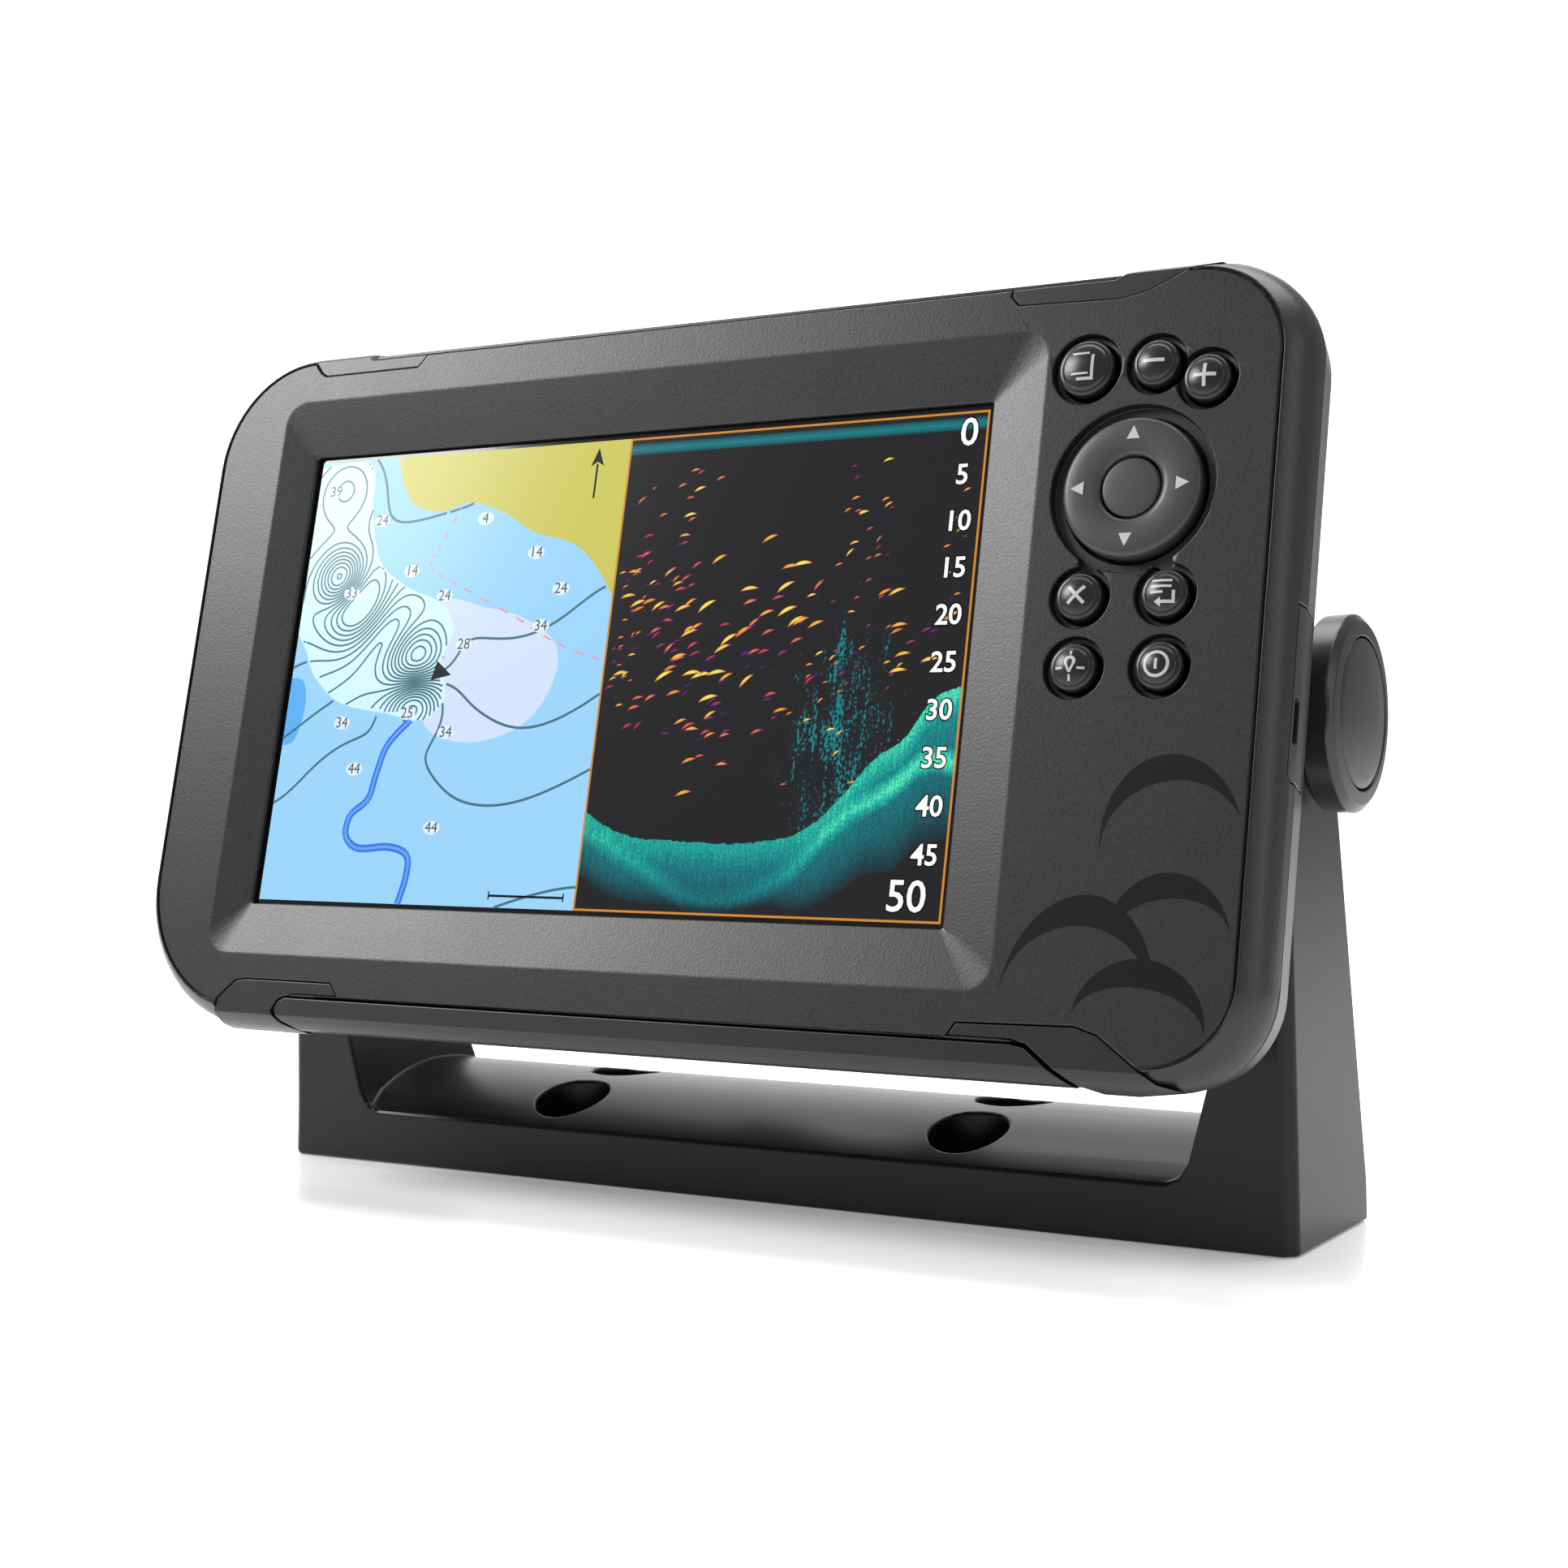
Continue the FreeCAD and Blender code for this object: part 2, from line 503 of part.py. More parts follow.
def make_rear_case():
    """Rear moulding: a rim that meets the bezel, a waist, and a deep narrower box behind."""
    body = new_body("rear_case", HEAD)
    seam = sketch_in(body, lift="-seam_deep - seam_gap")
    head_outline(seam, "0", "0", "0", "0")
    rim = sketch_in(body, lift="-rim_deep")
    head_outline(rim, "head_half - rim_half", "1.5", "1.5", "1")
    loft(body, [seam, rim])
    rim_again = sketch_in(body, lift="-rim_deep")
    head_outline(rim_again, "head_half - rim_half", "1.5", "1.5", "1")
    waist = sketch_in(body, lift="-waist_deep")
    rounded_box(waist, "-waist_half", "waist_half", "-body_low - 3", "body_top + 3", "16")
    loft(body, [rim_again, waist])
    root = sketch_in(body, lift="-waist_deep")
    rounded_box(root, "-body_half", "body_half", "-body_low", "body_top", "14")
    back = sketch_in(body, lift="-body_deep")
    rounded_box(back, "-back_half", "back_half", "-back_low", "back_top", "14")
    loft(body, [root, back])
    soften(body, "wall", lambda edge: abs(edge.CenterOfMass.z + number("body_deep")) < 0.01)

    boss = sketch_in(body, "YZ_Plane")
    circle(boss, "axis_above", "-axis_behind", "boss_round")
    grow(body, boss, "body_half * 2", both=True)

    wide = sketch_in(body, lift="-seam_deep - seam_gap")
    head_outline(wide, "4.6", "5.5", "4.6", "7")
    cut(body, wide, "rim_deep - seam_deep - 2.2")
    deep = sketch_in(body, lift="-rim_deep + 4")
    rounded_box(deep, "-back_half + wall * 3", "back_half - wall * 3", "-back_low + wall", "back_top - wall",
                "10")
    cut(body, deep, "body_deep - rim_deep - wall + 4")

    inserts = sketch_in(body, "YZ_Plane")
    circle(inserts, "axis_above", "-axis_behind", "insert_round")
    cut(body, inserts, "300", both=True)
    ports = sketch_in(body, lift="-body_deep")
    for x, y in SOCKETS.values():
        circle(ports, x, y, 8.2)
    circle(ports, 52, -30, 3.2)
    cut(body, ports, "10", backwards=True)
    passages = sketch_in(body, lift="-waist_deep - 4")
    for x, y in CASE_SCREWS:
        circle(passages, x, y, "shank_round + 0.2")
    cut(body, passages, "12", backwards=True)
    heads = sketch_in(body, lift="-waist_deep - 4")
    for x, y in CASE_SCREWS:
        circle(heads, x, y, "head_round_small + 0.3")
    cut(body, heads, "waist_deep + 4 - 13.7", backwards=True)

    door = sketch_in(body, "YZ_Plane", lift="110")
    polygon(door, [("door_low - door_gap", "-seam_deep + 1"), ("door_high + door_gap", "-seam_deep + 1"),
                   ("door_high + door_gap", "-door_back - 1"),
                   ("door_low - door_gap", "-door_back - 1")])
    cut(body, door, "20", backwards=True)
    pin_seat = sketch_in(body, "XZ_Plane", lift="-door_high - 1.2")
    circle(pin_seat, *HINGE, "pin_round + 0.02")
    cut(body, pin_seat, "door_high - door_low + 2.4", backwards=True)

    # upright cooling ribs across the back, above the sockets
    for place in range(15):
        rib = sketch_in(body, lift="-body_deep + 0.5")
        x = -70 + 10 * place
        rounded_box(rib, x - 1.2, x + 1.2, 2, 38, "1")
        grow(body, rib, "1.7", backwards=True)


# ---------------------------------------------------------------- keys
def make_keys():
    """Domed keys on their stems; each slides straight into the face."""
    for label, (x, y, radius) in KEYS.items():
        r = number(radius)
        turned(label, [("0", "-2.2"), ("1.5", "-2.2"), ("1.5", "-1"), (r + 0.6, "-1"),
                       (r + 0.6, "-0.15"), (radius, "-0.15"), (radius, "key_top - 1.5"),
                       (r - 0.35, "key_top - 0.7"), (r - 1.1, "key_top - 0.2"), (r - 2.2, "key_top"),
                       ("0", "key_top + 0.1")], in_head(x, y))
    pad_place = in_head(number("pad_x"), number("pad_y"))
    turned("enter_key", [("0", "-2.2"), ("1.5", "-2.2"), ("1.5", "-1"), ("enter_round - 0.8", "-1"),
                         ("enter_round", "-0.4"), ("enter_round", "key_top - 1.4"),
                         ("enter_round - 0.5", "key_top - 0.8"), ("0", "key_top - 0.9")], pad_place)
    hole = "enter_round + enter_gap"
    turned("cursor_pad", [(hole, "-0.8"), ("pad_round - 0.6", "-0.8"), ("pad_round", "-0.2"),
                          ("pad_round", "key_top - 1.5"), ("pad_round - 0.5", "key_top - 0.7"),
                          ("pad_round - 1.6", "key_top - 0.35"), (hole + " + 1", "key_top - 0.6"),
                          (hole, "key_top - 1")], pad_place)
    disc("cursor_carrier", "8", "-2.4", "-1.5", pad_place, hole="6")


# ---------------------------------------------------------------- display and electronics
def make_display():
    edges = ("view_off - view_wide / 2", "view_off + view_wide / 2", "-view_tall / 2", "view_tall / 2")
    outer = [edges[0] + " - 5", edges[1] + " + 5", edges[2] + " - 5", edges[3] + " + 5"]
    inner = [edges[0] + " - 1.2", edges[1] + " + 1.2", edges[2] + " - 1.2", edges[3] + " + 1.2"]
    slab("screen_lens", *outer, "-1.6", "-0.2", "2")
    seal = new_body("lens_seal", HEAD)
    ring = sketch_in(seal, lift="-0.2")
    rounded_box(ring, *outer, "2")
    rounded_box(ring, *inner, "0.5")
    grow(seal, ring, "0.2")
    slab("lcd_panel", *outer, "-4", "-1.7", "1")
    slab("lcd_backlight", *outer, "-8", "-4.1", "1")


def make_electronics():
    """The board sits deep in the case, its chips against a heat spreader on the back wall."""
    slab("heat_spreader", -78, 66, -9, 44, "-50.8", "-47.8", "3")
    board = slab("main_board", -78, 66, -41, 41, "-41.6", "-40", "2")
    holes = sketch_in(board, lift="-39")
    for x, y in BOARD_SCREWS:
        circle(holes, x, y, "shank_round + 0.1")
    cut(board, holes, "5")
    chips = new_body("board_chips", HEAD)
    for left, right, low, high, tall in ((-40, -22, -8, 10, 1.6), (-10, 4, -6, 8, 1.2), (14, 34, 12, 24, 3.0),
                                         (20, 40, -20, -8, 6.0)):
        chip = sketch_in(chips, lift="-41.6")
        rounded_box(chip, left, right, low, high, "0.5")
        grow(chips, chip, tall, backwards=True)
    screws = group("board_screws", BOARD_SCREWS, "shank_round", "-47.6", "-37.6")
    heads = sketch_in(screws, lift="-40")
    for x, y in BOARD_SCREWS:
        circle(heads, x, y, "head_round_small")
    grow(screws, heads, "2.4")
    slab("keypad_board", 76, 108, -9, 52.6, "-4.6", "-3.6", "2")
    domes = [(x, y) for x, y, radius in KEYS.values()]
    domes += [(number("pad_x") + dx, number("pad_y") + dy) for dx, dy in PAD_DOMES]
    group("dome_switches", domes, 1.9, "-3.6", "-3.15")
    membrane = slab("keypad_membrane", 76, 108, -9, 52.6, "-2.9", "-2.5", "2")
    windows = sketch_in(membrane, lift="-2")
    circle(windows, "pad_x", "pad_y", "12.6")
    cut(membrane, windows, "3")
    for x, y, radius in KEYS.values():
        window = sketch_in(membrane, lift="-2")
        circle(window, x, y, 1.9)
        cut(membrane, window, "3")
    slab("gps_antenna", 78, 103, -45, -20, "-8", "-4", "2")
    disc("buzzer", "6", "-8", "-4", in_head(84, -52))
    reader = slab("card_reader", 92, 110.5, -18, 7, "-10.6", "-6.6", "1")
    slit = sketch_in(reader, "YZ_Plane", lift="113")
    rounded_box(slit, -14, 2, -9.4, -8.2, "0.4")
    cut(reader, slit, "12")
    cable = new_body("display_cable", HEAD)
    run = sketch_in(cable, "YZ_Plane", lift="-30")
    polygon(run, [(45.2, -8.1), (45.2, -39.4), (38, -39.4), (38, -39.8), (45.6, -39.8), (45.6, -8.1)])
    grow(cable, run, "24")
    ribbon = new_body("keypad_cable", HEAD)
    run = sketch_in(ribbon, "XZ_Plane", lift="-6")
    polygon(run, [(79.2, -5), (79.2, -39.4), (58, -39.4), (58, -39.8), (79.6, -39.8), (79.6, -5)])
    grow(ribbon, run, "12")


def make_sockets():
    """Two screw-collar sockets, their nuts, pins and the vent plug in the back."""
    flip = Rotation(Vector(1, 0, 0), 180)
    back = number("body_deep")
    for label, (x, y) in SOCKETS.items():
        place = in_head(x, y, -back, flip)
        turned(label, [("0", "-5"), ("8", "-5"), ("8", "0.2"), ("10.5", "0.2"), ("10.5", "2"),
                       ("8.4", "2"), ("8.4", "10"), ("7", "10"), ("7", "3"), ("0", "3")], place)
        disc(label.replace("socket", "socket_nut"), "10.2", "-4.8", "-3", place, hole="8.1")
        turns = [math.radians(45 + 90 * quarter) for quarter in range(4)]
        group(label.replace("socket", "pins"), [(3.4 * math.cos(a), 3.4 * math.sin(a)) for a in turns],
              0.5, "3", "5.4", place)
    turned("vent_plug", [("0", "-3"), ("3.1", "-3"), ("3.1", "0.1"), ("4.6", "0.1"), ("4.6", "0.9"),
                         ("3.8", "1.6"), ("0", "1.6")], in_head(52, -30, -back, flip))
    screws = group("case_screws", CASE_SCREWS, "shank_round", "-13.8", "-2.6")
    heads = sketch_in(screws, lift="-13.8")
    for x, y in CASE_SCREWS:
        circle(heads, x, y, "head_round_small")
    grow(screws, heads, "1.6", backwards=True)
    drives = sketch_in(screws, lift="-16")
    for x, y in CASE_SCREWS:
        rounded_box(drives, x - 1.7, x + 1.7, y - 0.4, y + 0.4, 0.2)
    cut(screws, drives, "1.4", backwards=True)
    gasket = new_body("case_gasket", HEAD)
    ring = sketch_in(gasket, lift="-seam_deep - seam_gap")
    for inset in ("1.6", "3.4"):
        head_outline(ring, inset, inset, inset, inset)
    grow(gasket, ring, "seam_gap")
    notch = sketch_in(gasket, lift="0")
    rounded_box(notch, 112, 122, "door_low - 0.4", "door_high + 0.4", "0.5")
    cut(gasket, notch, "20")


# ---------------------------------------------------------------- card door
def make_card_door():
    """Side door hinged at its rear edge, following the side wall's slope."""
    door = new_body("card_door", HEAD)
    profile = sketch_in(door, "XZ_Plane", lift="-door_high")
    front_u = "head_half - door_inset"
    polygon(profile, [(front_u, "-door_front"), ("head_half", "-seam_deep"),
                      ("head_half - 1.1", "-door_back"), ("head_half - 2.8", "-door_back"),
                      ("head_half - 1.7", "-seam_deep"), (front_u + " - door_thick", "-door_front")])
    grow(door, profile, "door_high - door_low")
    knuckle = sketch_in(door, "XZ_Plane", lift="-door_high + 0.3")
    circle(knuckle, *HINGE, 1.1)
    grow(door, knuckle, "door_high - door_low - 0.6")
    bore = sketch_in(door, "XZ_Plane", lift="-door_high - 1")
    circle(bore, *HINGE, "pin_round + 0.06")
    cut(door, bore, "door_high - door_low + 2", backwards=True)
    corner = sketch_in(door, "YZ_Plane", lift="114")
    polygon(corner, [("door_low - 1", "-door_front + 1"), ("door_low + 1.8", "-door_front + 1"),
                     ("door_low - 1", "-door_front - 2.6")])
    cut(door, corner, "10", backwards=True)
    notch = sketch_in(door, "YZ_Plane", lift="118.2")
    rounded_box(notch, -14, -6, "-door_front - 2.6", "-door_front - 0.9", "0.8")
    cut(door, notch, "5", backwards=True)
    seal = new_body("door_seal", HEAD)
    ring = sketch_in(seal, "YZ_Plane", lift="116.1")
    rounded_box(ring, "door_low + 1.6", "door_high - 1.4", "-door_back + 2.3", "-seam_deep + 0.4", "1")
    rounded_box(ring, "door_low + 2.6", "door_high - 2.4", "-door_back + 3.3", "-seam_deep - 0.6", "0.6")
    grow(seal, ring, "1.1")
    upright = Rotation(Vector(1, 0, 0), -90)
    place = in_head(number(HINGE[0]), 0, number(HINGE[1]), upright)
    disc("door_hinge_pin", "pin_round", "door_low - 1", "door_high + 1", place)


# ---------------------------------------------------------------- clamp knobs
def make_knobs():
    for name, side in (("left", -1), ("right", 1)):
        place = side_place(side)
        knob = turned("knob_" + name,
                      [("stud_round", "knob_start"), ("12.5", "knob_start"), ("12.5", "knob_start + 1.4"),
                       ("knob_rim - 1", "knob_start + 1.4"), ("knob_rim - 0.2", "knob_start + 2.2"),
                       ("knob_rim", "knob_end - 1.2"), ("knob_rim - 1.4", "knob_end"),
                       ("cap_round + 0.3", "knob_end + 0.3"), ("cap_round + 0.3", "knob_end - 1.2"),
                       ("stud_round", "knob_end - 1.2")], place)
        flats = sketch_in(knob, lift="knob_start")
        for low, high in (("knob_flat", "25"), ("-25", "-knob_flat")):
            rounded_box(flats, "-20", "20", low, high, "0.5")
        cut(knob, flats, "15", backwards=True)
        turned("knob_cap_" + name,
               [("0", "knob_end - 1"), ("cap_round", "knob_end - 1"), ("cap_round", "knob_end + 0.2"),
                ("cap_round - 1.6", "knob_end + 0.7"), ("cap_round - 6", "knob_end + 1.1"),
                ("0", "knob_end + 1.2")], place)
        disc("stud_" + name, "stud_round", "84", "knob_end - 1.3", place)
        disc("knob_washer_" + name, "11.5", "arm_out + 0.7", "knob_start - 0.2", place,
             hole="stud_round + stud_play")
        disc("insert_" + name, "insert_round", "82", "body_half - 0.2", place,
             hole="stud_round + stud_play")
        disc("friction_washer_" + name, "12.5", "body_half + 0.1", "arm_in - 0.2", place,
             hole="stud_round + 0.5")


make_bracket()
make_front_bezel()
make_clips_and_trims()
make_rear_case()
make_keys()
make_display()
make_electronics()
make_sockets()
make_card_door()
make_knobs()

doc.recompute()
for thing in doc.Objects:
    if "Invalid" in thing.State or "Error" in thing.State:
        raise ValueError("failed: %s %s" % (thing.Name, thing.State))
os.makedirs("parts", exist_ok=True)
for label, node in NODES.items():
    if node.Shape.isNull() or not node.Shape.isValid():
        raise ValueError("bad shape: " + label)
    node.Shape.exportStep("parts/%s.step" % label)
print(len(NODES), "nodes")
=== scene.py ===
# %% [markdown]
# # Dressing a fish finder
# The machine itself is already designed: a display head that leans back in a U-shaped bracket, held by a
# clamp knob on each side. This notebook gives the fixed design its looks. Nothing in it moves or resizes a
# designed part. Each part either keeps its designed mesh and gets a finish, or is hidden behind a piece
# that has the same shape with soft moulded edges and finer detail.

# %% Load the design
import json
import math
import random

import bmesh
import bpy
from mathutils import Matrix, Vector


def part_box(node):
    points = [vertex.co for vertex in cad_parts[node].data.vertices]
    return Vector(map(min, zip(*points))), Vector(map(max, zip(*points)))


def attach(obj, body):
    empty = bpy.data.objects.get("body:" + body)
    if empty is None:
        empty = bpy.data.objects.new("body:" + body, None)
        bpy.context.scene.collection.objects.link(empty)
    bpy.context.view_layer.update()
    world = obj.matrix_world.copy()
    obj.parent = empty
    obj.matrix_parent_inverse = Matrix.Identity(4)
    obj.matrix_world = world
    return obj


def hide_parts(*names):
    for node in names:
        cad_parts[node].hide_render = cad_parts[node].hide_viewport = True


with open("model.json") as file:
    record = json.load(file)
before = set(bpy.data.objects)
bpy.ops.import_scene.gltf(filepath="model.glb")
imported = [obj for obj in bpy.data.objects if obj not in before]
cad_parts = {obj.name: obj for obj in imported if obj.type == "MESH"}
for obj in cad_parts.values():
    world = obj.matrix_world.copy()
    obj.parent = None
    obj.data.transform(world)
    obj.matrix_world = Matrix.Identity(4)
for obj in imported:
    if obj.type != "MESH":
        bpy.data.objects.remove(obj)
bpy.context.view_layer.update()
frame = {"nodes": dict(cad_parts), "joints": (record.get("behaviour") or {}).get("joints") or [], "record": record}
nodes = frame["nodes"]
body_of = {node: body for body, members in frame["record"]["behaviour"]["bodies"].items() for node in members}
slot_of = {part["node"]: part["material_slot"] for part in frame["record"]["subparts"]}

# %% [markdown]
# ## The head's own frame
# The head leans back, so working in room axes would put a sine and a cosine in every line. Instead one
# matrix stands for the head: x to the right, y up the face, z out of it, in millimetres, with zero at the
# screen. It is measured from the screen's lens and the card door's hinge, which runs up the face.

# %% Measure the head's frame
MM = 0.001
joints = {joint["name"]: joint for joint in frame["joints"]}
ACROSS = Vector((1, 0, 0))
UP_FACE = Vector(joints["card_door_swing"]["axis"]).normalized()
OUT = ACROSS.cross(UP_FACE)
LENS_BELOW = 0.2  # the lens lies this far below the head's zero


def reach(node, direction):
    """How far a part reaches along a direction, lowest and highest, in metres."""
    along = [vertex.co.dot(direction) for vertex in nodes[node].data.vertices]
    return min(along), max(along)


lens_up = sum(reach("screen_lens", UP_FACE)) / 2
lens_out = reach("screen_lens", OUT)[1] + LENS_BELOW * MM
zero = UP_FACE * lens_up + OUT * lens_out
HEAD = Matrix.Translation(zero) @ Matrix((ACROSS, UP_FACE, OUT)).transposed().to_4x4() @ Matrix.Scale(MM, 4)
TO_HEAD = HEAD.inverted()
ROOM = Matrix.Scale(MM, 4)


def head_box(node):
    """A part's lowest and highest corner in the head's frame, in millimetres."""
    corners = [TO_HEAD @ vertex.co for vertex in nodes[node].data.vertices]
    low = Vector(min(corner[axis] for corner in corners) for axis in range(3))
    high = Vector(max(corner[axis] for corner in corners) for axis in range(3))
    return low, high


def middle(node):
    low, high = head_box(node)
    return (low + high) / 2


FACE = head_box("front_bezel")[1].z
print("zero of the head", tuple(round(value, 4) for value in zero), "face at", round(FACE, 2))

# %% [markdown]
# ## Meshes
# A few small helpers make nearly every piece. `add_mesh` turns corners and faces into an object.
# `settle_mesh` evaluates its modifiers and keeps the plain result. `soft_copy` takes a designed part's
# shape and rounds its edges, because no moulded edge is perfectly sharp: the thin highlight along an edge
# is what makes plastic look real. It marks the edges by the angle between their faces and bevels only
# those, so the large faces stay as they are. Then every corner is kept inside the part's own box.
# `dress` gives a piece its finish and its moving body.

# %% Mesh helpers
SHARP = math.radians(32)
SHALLOW = math.radians(6)
MERGE = 0.002 * MM  # corners closer than this are one corner


def add_mesh(name, corners, faces, place=None):
    mesh = bpy.data.meshes.new(name)
    mesh.from_pydata([tuple((place or HEAD) @ Vector(corner)) for corner in corners], [], faces)
    return add_piece(name, mesh)


def add_piece(name, data):
    piece = bpy.data.objects.new(name, data)
    bpy.context.scene.collection.objects.link(piece)
    return piece


def face_outwards(piece):
    """Turns every face of a closed piece outwards """
    work = bmesh.new()
    work.from_mesh(piece.data)
    bmesh.ops.recalc_face_normals(work, faces=work.faces)
    work.to_mesh(piece.data)
    work.free()
    return piece


def settle_mesh(piece):
    """Replaces a piece's mesh by what its modifiers make of it."""
    bpy.context.view_layer.update()
    shown = piece.evaluated_get(bpy.context.evaluated_depsgraph_get())
    made = bpy.data.meshes.new_from_object(shown)
    piece.modifiers.clear()
    piece.data = made
    made.name = piece.name
    return piece


def round_edges(piece, width, steps=2, shallow=None):
    """Rounds the sharp edges of a piece, and in a shallow zone the nearly flat ones as well."""
    work = bmesh.new()
    work.from_mesh(piece.data)
    weight = work.edges.layers.float.new("bevel_weight_edge")
    for edge in work.edges:
        least = SHARP
        if shallow and all(shallow(TO_HEAD @ vertex.co) for vertex in edge.verts):
            least = SHALLOW
        if edge.calc_face_angle(0) > least:
            edge[weight] = 1.0
    work.to_mesh(piece.data)
    work.free()
    piece.data.shade_smooth()
    bevel = piece.modifiers.new("round", "BEVEL")
    bevel.width = width * MM
    bevel.segments = steps
    bevel.limit_method = "WEIGHT"
    bevel.use_clamp_overlap = False
    bevel.miter_outer = "MITER_ARC"
    bevel.face_strength_mode = "FSTR_ALL"
    weigh = piece.modifiers.new("weigh", "WEIGHTED_NORMAL")
    weigh.weight = 80
    weigh.use_face_influence = True
    return settle_mesh(piece)


def soft_copy(node, width, steps=2, join=True, shallow=None, bend=None):
    """A part's shape with its triangles joined at their corners and its edges rounded."""
    work = bmesh.new()
    work.from_mesh(nodes[node].data)
    bmesh.ops.remove_doubles(work, verts=work.verts, dist=MERGE)
    if join:
        bmesh.ops.dissolve_limit(work, angle_limit=math.radians(0.6), verts=work.verts, edges=work.edges)
    if bend:
        bend(work)
    work.verts.index_update()
    corners = [vertex.co / MM for vertex in work.verts]
    faces = [[vertex.index for vertex in face.verts] for face in work.faces]
    work.free()
    piece = round_edges(add_mesh(node + "_skin", corners, faces, ROOM), width, steps, shallow)
    low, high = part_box(node)
    for vertex in piece.data.vertices:  # a rounded corner never reaches past the part itself
        vertex.co = [min(max(value, least), most) for value, least, most in zip(vertex.co, low, high)]
    return piece


def dress(piece, finish, slot, body, *stands_for):
    """Gives a piece its finish, its body and the parts that it stands for."""
    piece.data.materials.clear()
    piece.data.materials.append(finish)
    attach(piece, body)
    if stands_for:
        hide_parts(*stands_for)
    return piece


# %% [markdown]
# ## Writing node trees as sums
# Wiring a shader node by node hides the sum that it works out. Here one small class wraps an output
# socket, and an operator on it adds a Math node, so `1 - mask * 0.5` in the script is the same sum in the
# tree. A second class holds a tree and makes any other node from its type, its settings and its inputs.
# The same pair serves shaders and Geometry Nodes.

# %% Wires and trees
class Wire:
    """An output socket whose arithmetic adds Math nodes to its tree."""

    def __init__(self, tree, socket):
        self.tree = tree
        self.socket = socket

    def maths(self, operation, first, second):
        return self.tree.node("ShaderNodeMath", {"operation": operation}, {0: first, 1: second})

    def __add__(self, other):
        return self.maths("ADD", self, other)

    __radd__ = __add__

    def __sub__(self, other):
        return self.maths("SUBTRACT", self, other)

    def __rsub__(self, other):
        return self.maths("SUBTRACT", other, self)

    def __mul__(self, other):
        return self.maths("MULTIPLY", self, other)

    __rmul__ = __mul__

    def __truediv__(self, other):
        return self.maths("DIVIDE", self, other)

    def __pow__(self, other):
        return self.maths("POWER", self, other)

    def over(self, edge):
        return self.maths("GREATER_THAN", self, edge)

    def at_least(self, value):
        return self.maths("MAXIMUM", self, value)

    def at_most(self, value):
        return self.maths("MINIMUM", self, value)

    def size(self):
        return self.maths("ABSOLUTE", self, 0.0)


class Tree:
    """A node tree that is written from Python."""

    def __init__(self, tree):
        self.tree = tree

    def node(self, kind, settings=None, inputs=None, out=None):
        """Adds a node: its settings first, then its inputs; returns one output, or all of them."""
        made = self.tree.nodes.new(kind)
        for name, value in (settings or {}).items():
            if name == "stops":
                self.set_stops(made.color_ramp, value)
            elif name == "curve":
                self.set_curve(made, value)
            else:
                setattr(made, name, value)
        for key, value in (inputs or {}).items():
            socket = made.inputs[key] if isinstance(key, int) else self.find(made.inputs, key)
            self.feed(socket, value)
        if out == "all":
            return {socket.name: Wire(self, socket) for socket in made.outputs if socket.enabled}
        enabled = [socket for socket in made.outputs if socket.enabled]
        return Wire(self, self.find(made.outputs, out) if out else enabled[0]) if enabled else made

    def find(self, sockets, name):
        return next(socket for socket in sockets if socket.enabled and socket.name == name)

    def feed(self, socket, value):
        if isinstance(value, Wire):
            self.tree.links.new(value.socket, socket)
        else:
            socket.default_value = value

    def noise(self, place, scale, detail, settings=None):
        return self.node("ShaderNodeTexNoise", settings,
                         {"Vector": place, "Scale": scale, "Detail": detail}, "Fac")

    def blend(self, share, first, second):
        """A colour between two, by a share that may vary over the surface."""
        return self.node("ShaderNodeMix", {"data_type": "RGBA"}, {"Factor": share, "A": first, "B": second})

    def ramp(self, value, *stops):
        """Colours along a value, each stop given as its place and its screen colour."""
        stops = [(place, tint(*colour)) for place, colour in stops]
        return self.node("ShaderNodeValToRGB", {"stops": stops}, {"Fac": value}, "Color")

    def set_stops(self, ramp, stops):
        while len(ramp.elements) < len(stops):
            ramp.elements.new(1.0)
        for element, (place, colour) in zip(ramp.elements, stops):
            element.position = place
            element.color = colour

    def set_curve(self, made, points):
        curve = made.mapping.curves[0]
        for place, height in points[1:-1]:
            curve.points.new(place, height)
        curve.points[0].location = points[0]
        curve.points[-1].location = points[-1]
        made.mapping.update()


# %% A finish is a tree with a shader
class Finish(Tree):
    """A material written from Python, with its main shader at hand."""

    def __init__(self, name):
        self.material = bpy.data.materials.new(name)
        self.material.use_nodes = True
        super().__init__(self.material.node_tree)
        self.shader = self.tree.nodes["Principled BSDF"]

    def wear(self, **inputs):
        """Sets the main shader's sockets; a name's underscores stand for spaces."""
        for name, value in inputs.items():
            self.feed(self.shader.inputs[name.replace("_", " ")], value)
        return self.material


def tint(red, green, blue):
    """A colour as a screen counts it, 0 to 255, as the linear colour that a shader uses."""
    parts = [part / 255 for part in (red, green, blue)]
    return (*[part / 12.92 if part <= 0.04045 else ((part + 0.055) / 1.055) ** 2.4 for part in parts], 1.0)


def grey(level):
    return tint(level, level, level)


print("a mid grey is", round(grey(128)[0], 3), "in a shader")

# %% [markdown]
# ## Plastics
# Every moulding is the same family of plastic, and differs in its tone, gloss and grain. A real mould is
# spark-eroded, which leaves a fine pebble that breaks the gloss into specks. A noise about half a
# millimetre wide drives the bump, and also lightens the base colour on its high points, so the grain shows
# as lighter specks. A second, much wider noise lets the gloss drift a little, as it does on any large part.

# %% Moulded plastic finishes
CLOUDS = 38.0  # patches of drifting gloss per metre


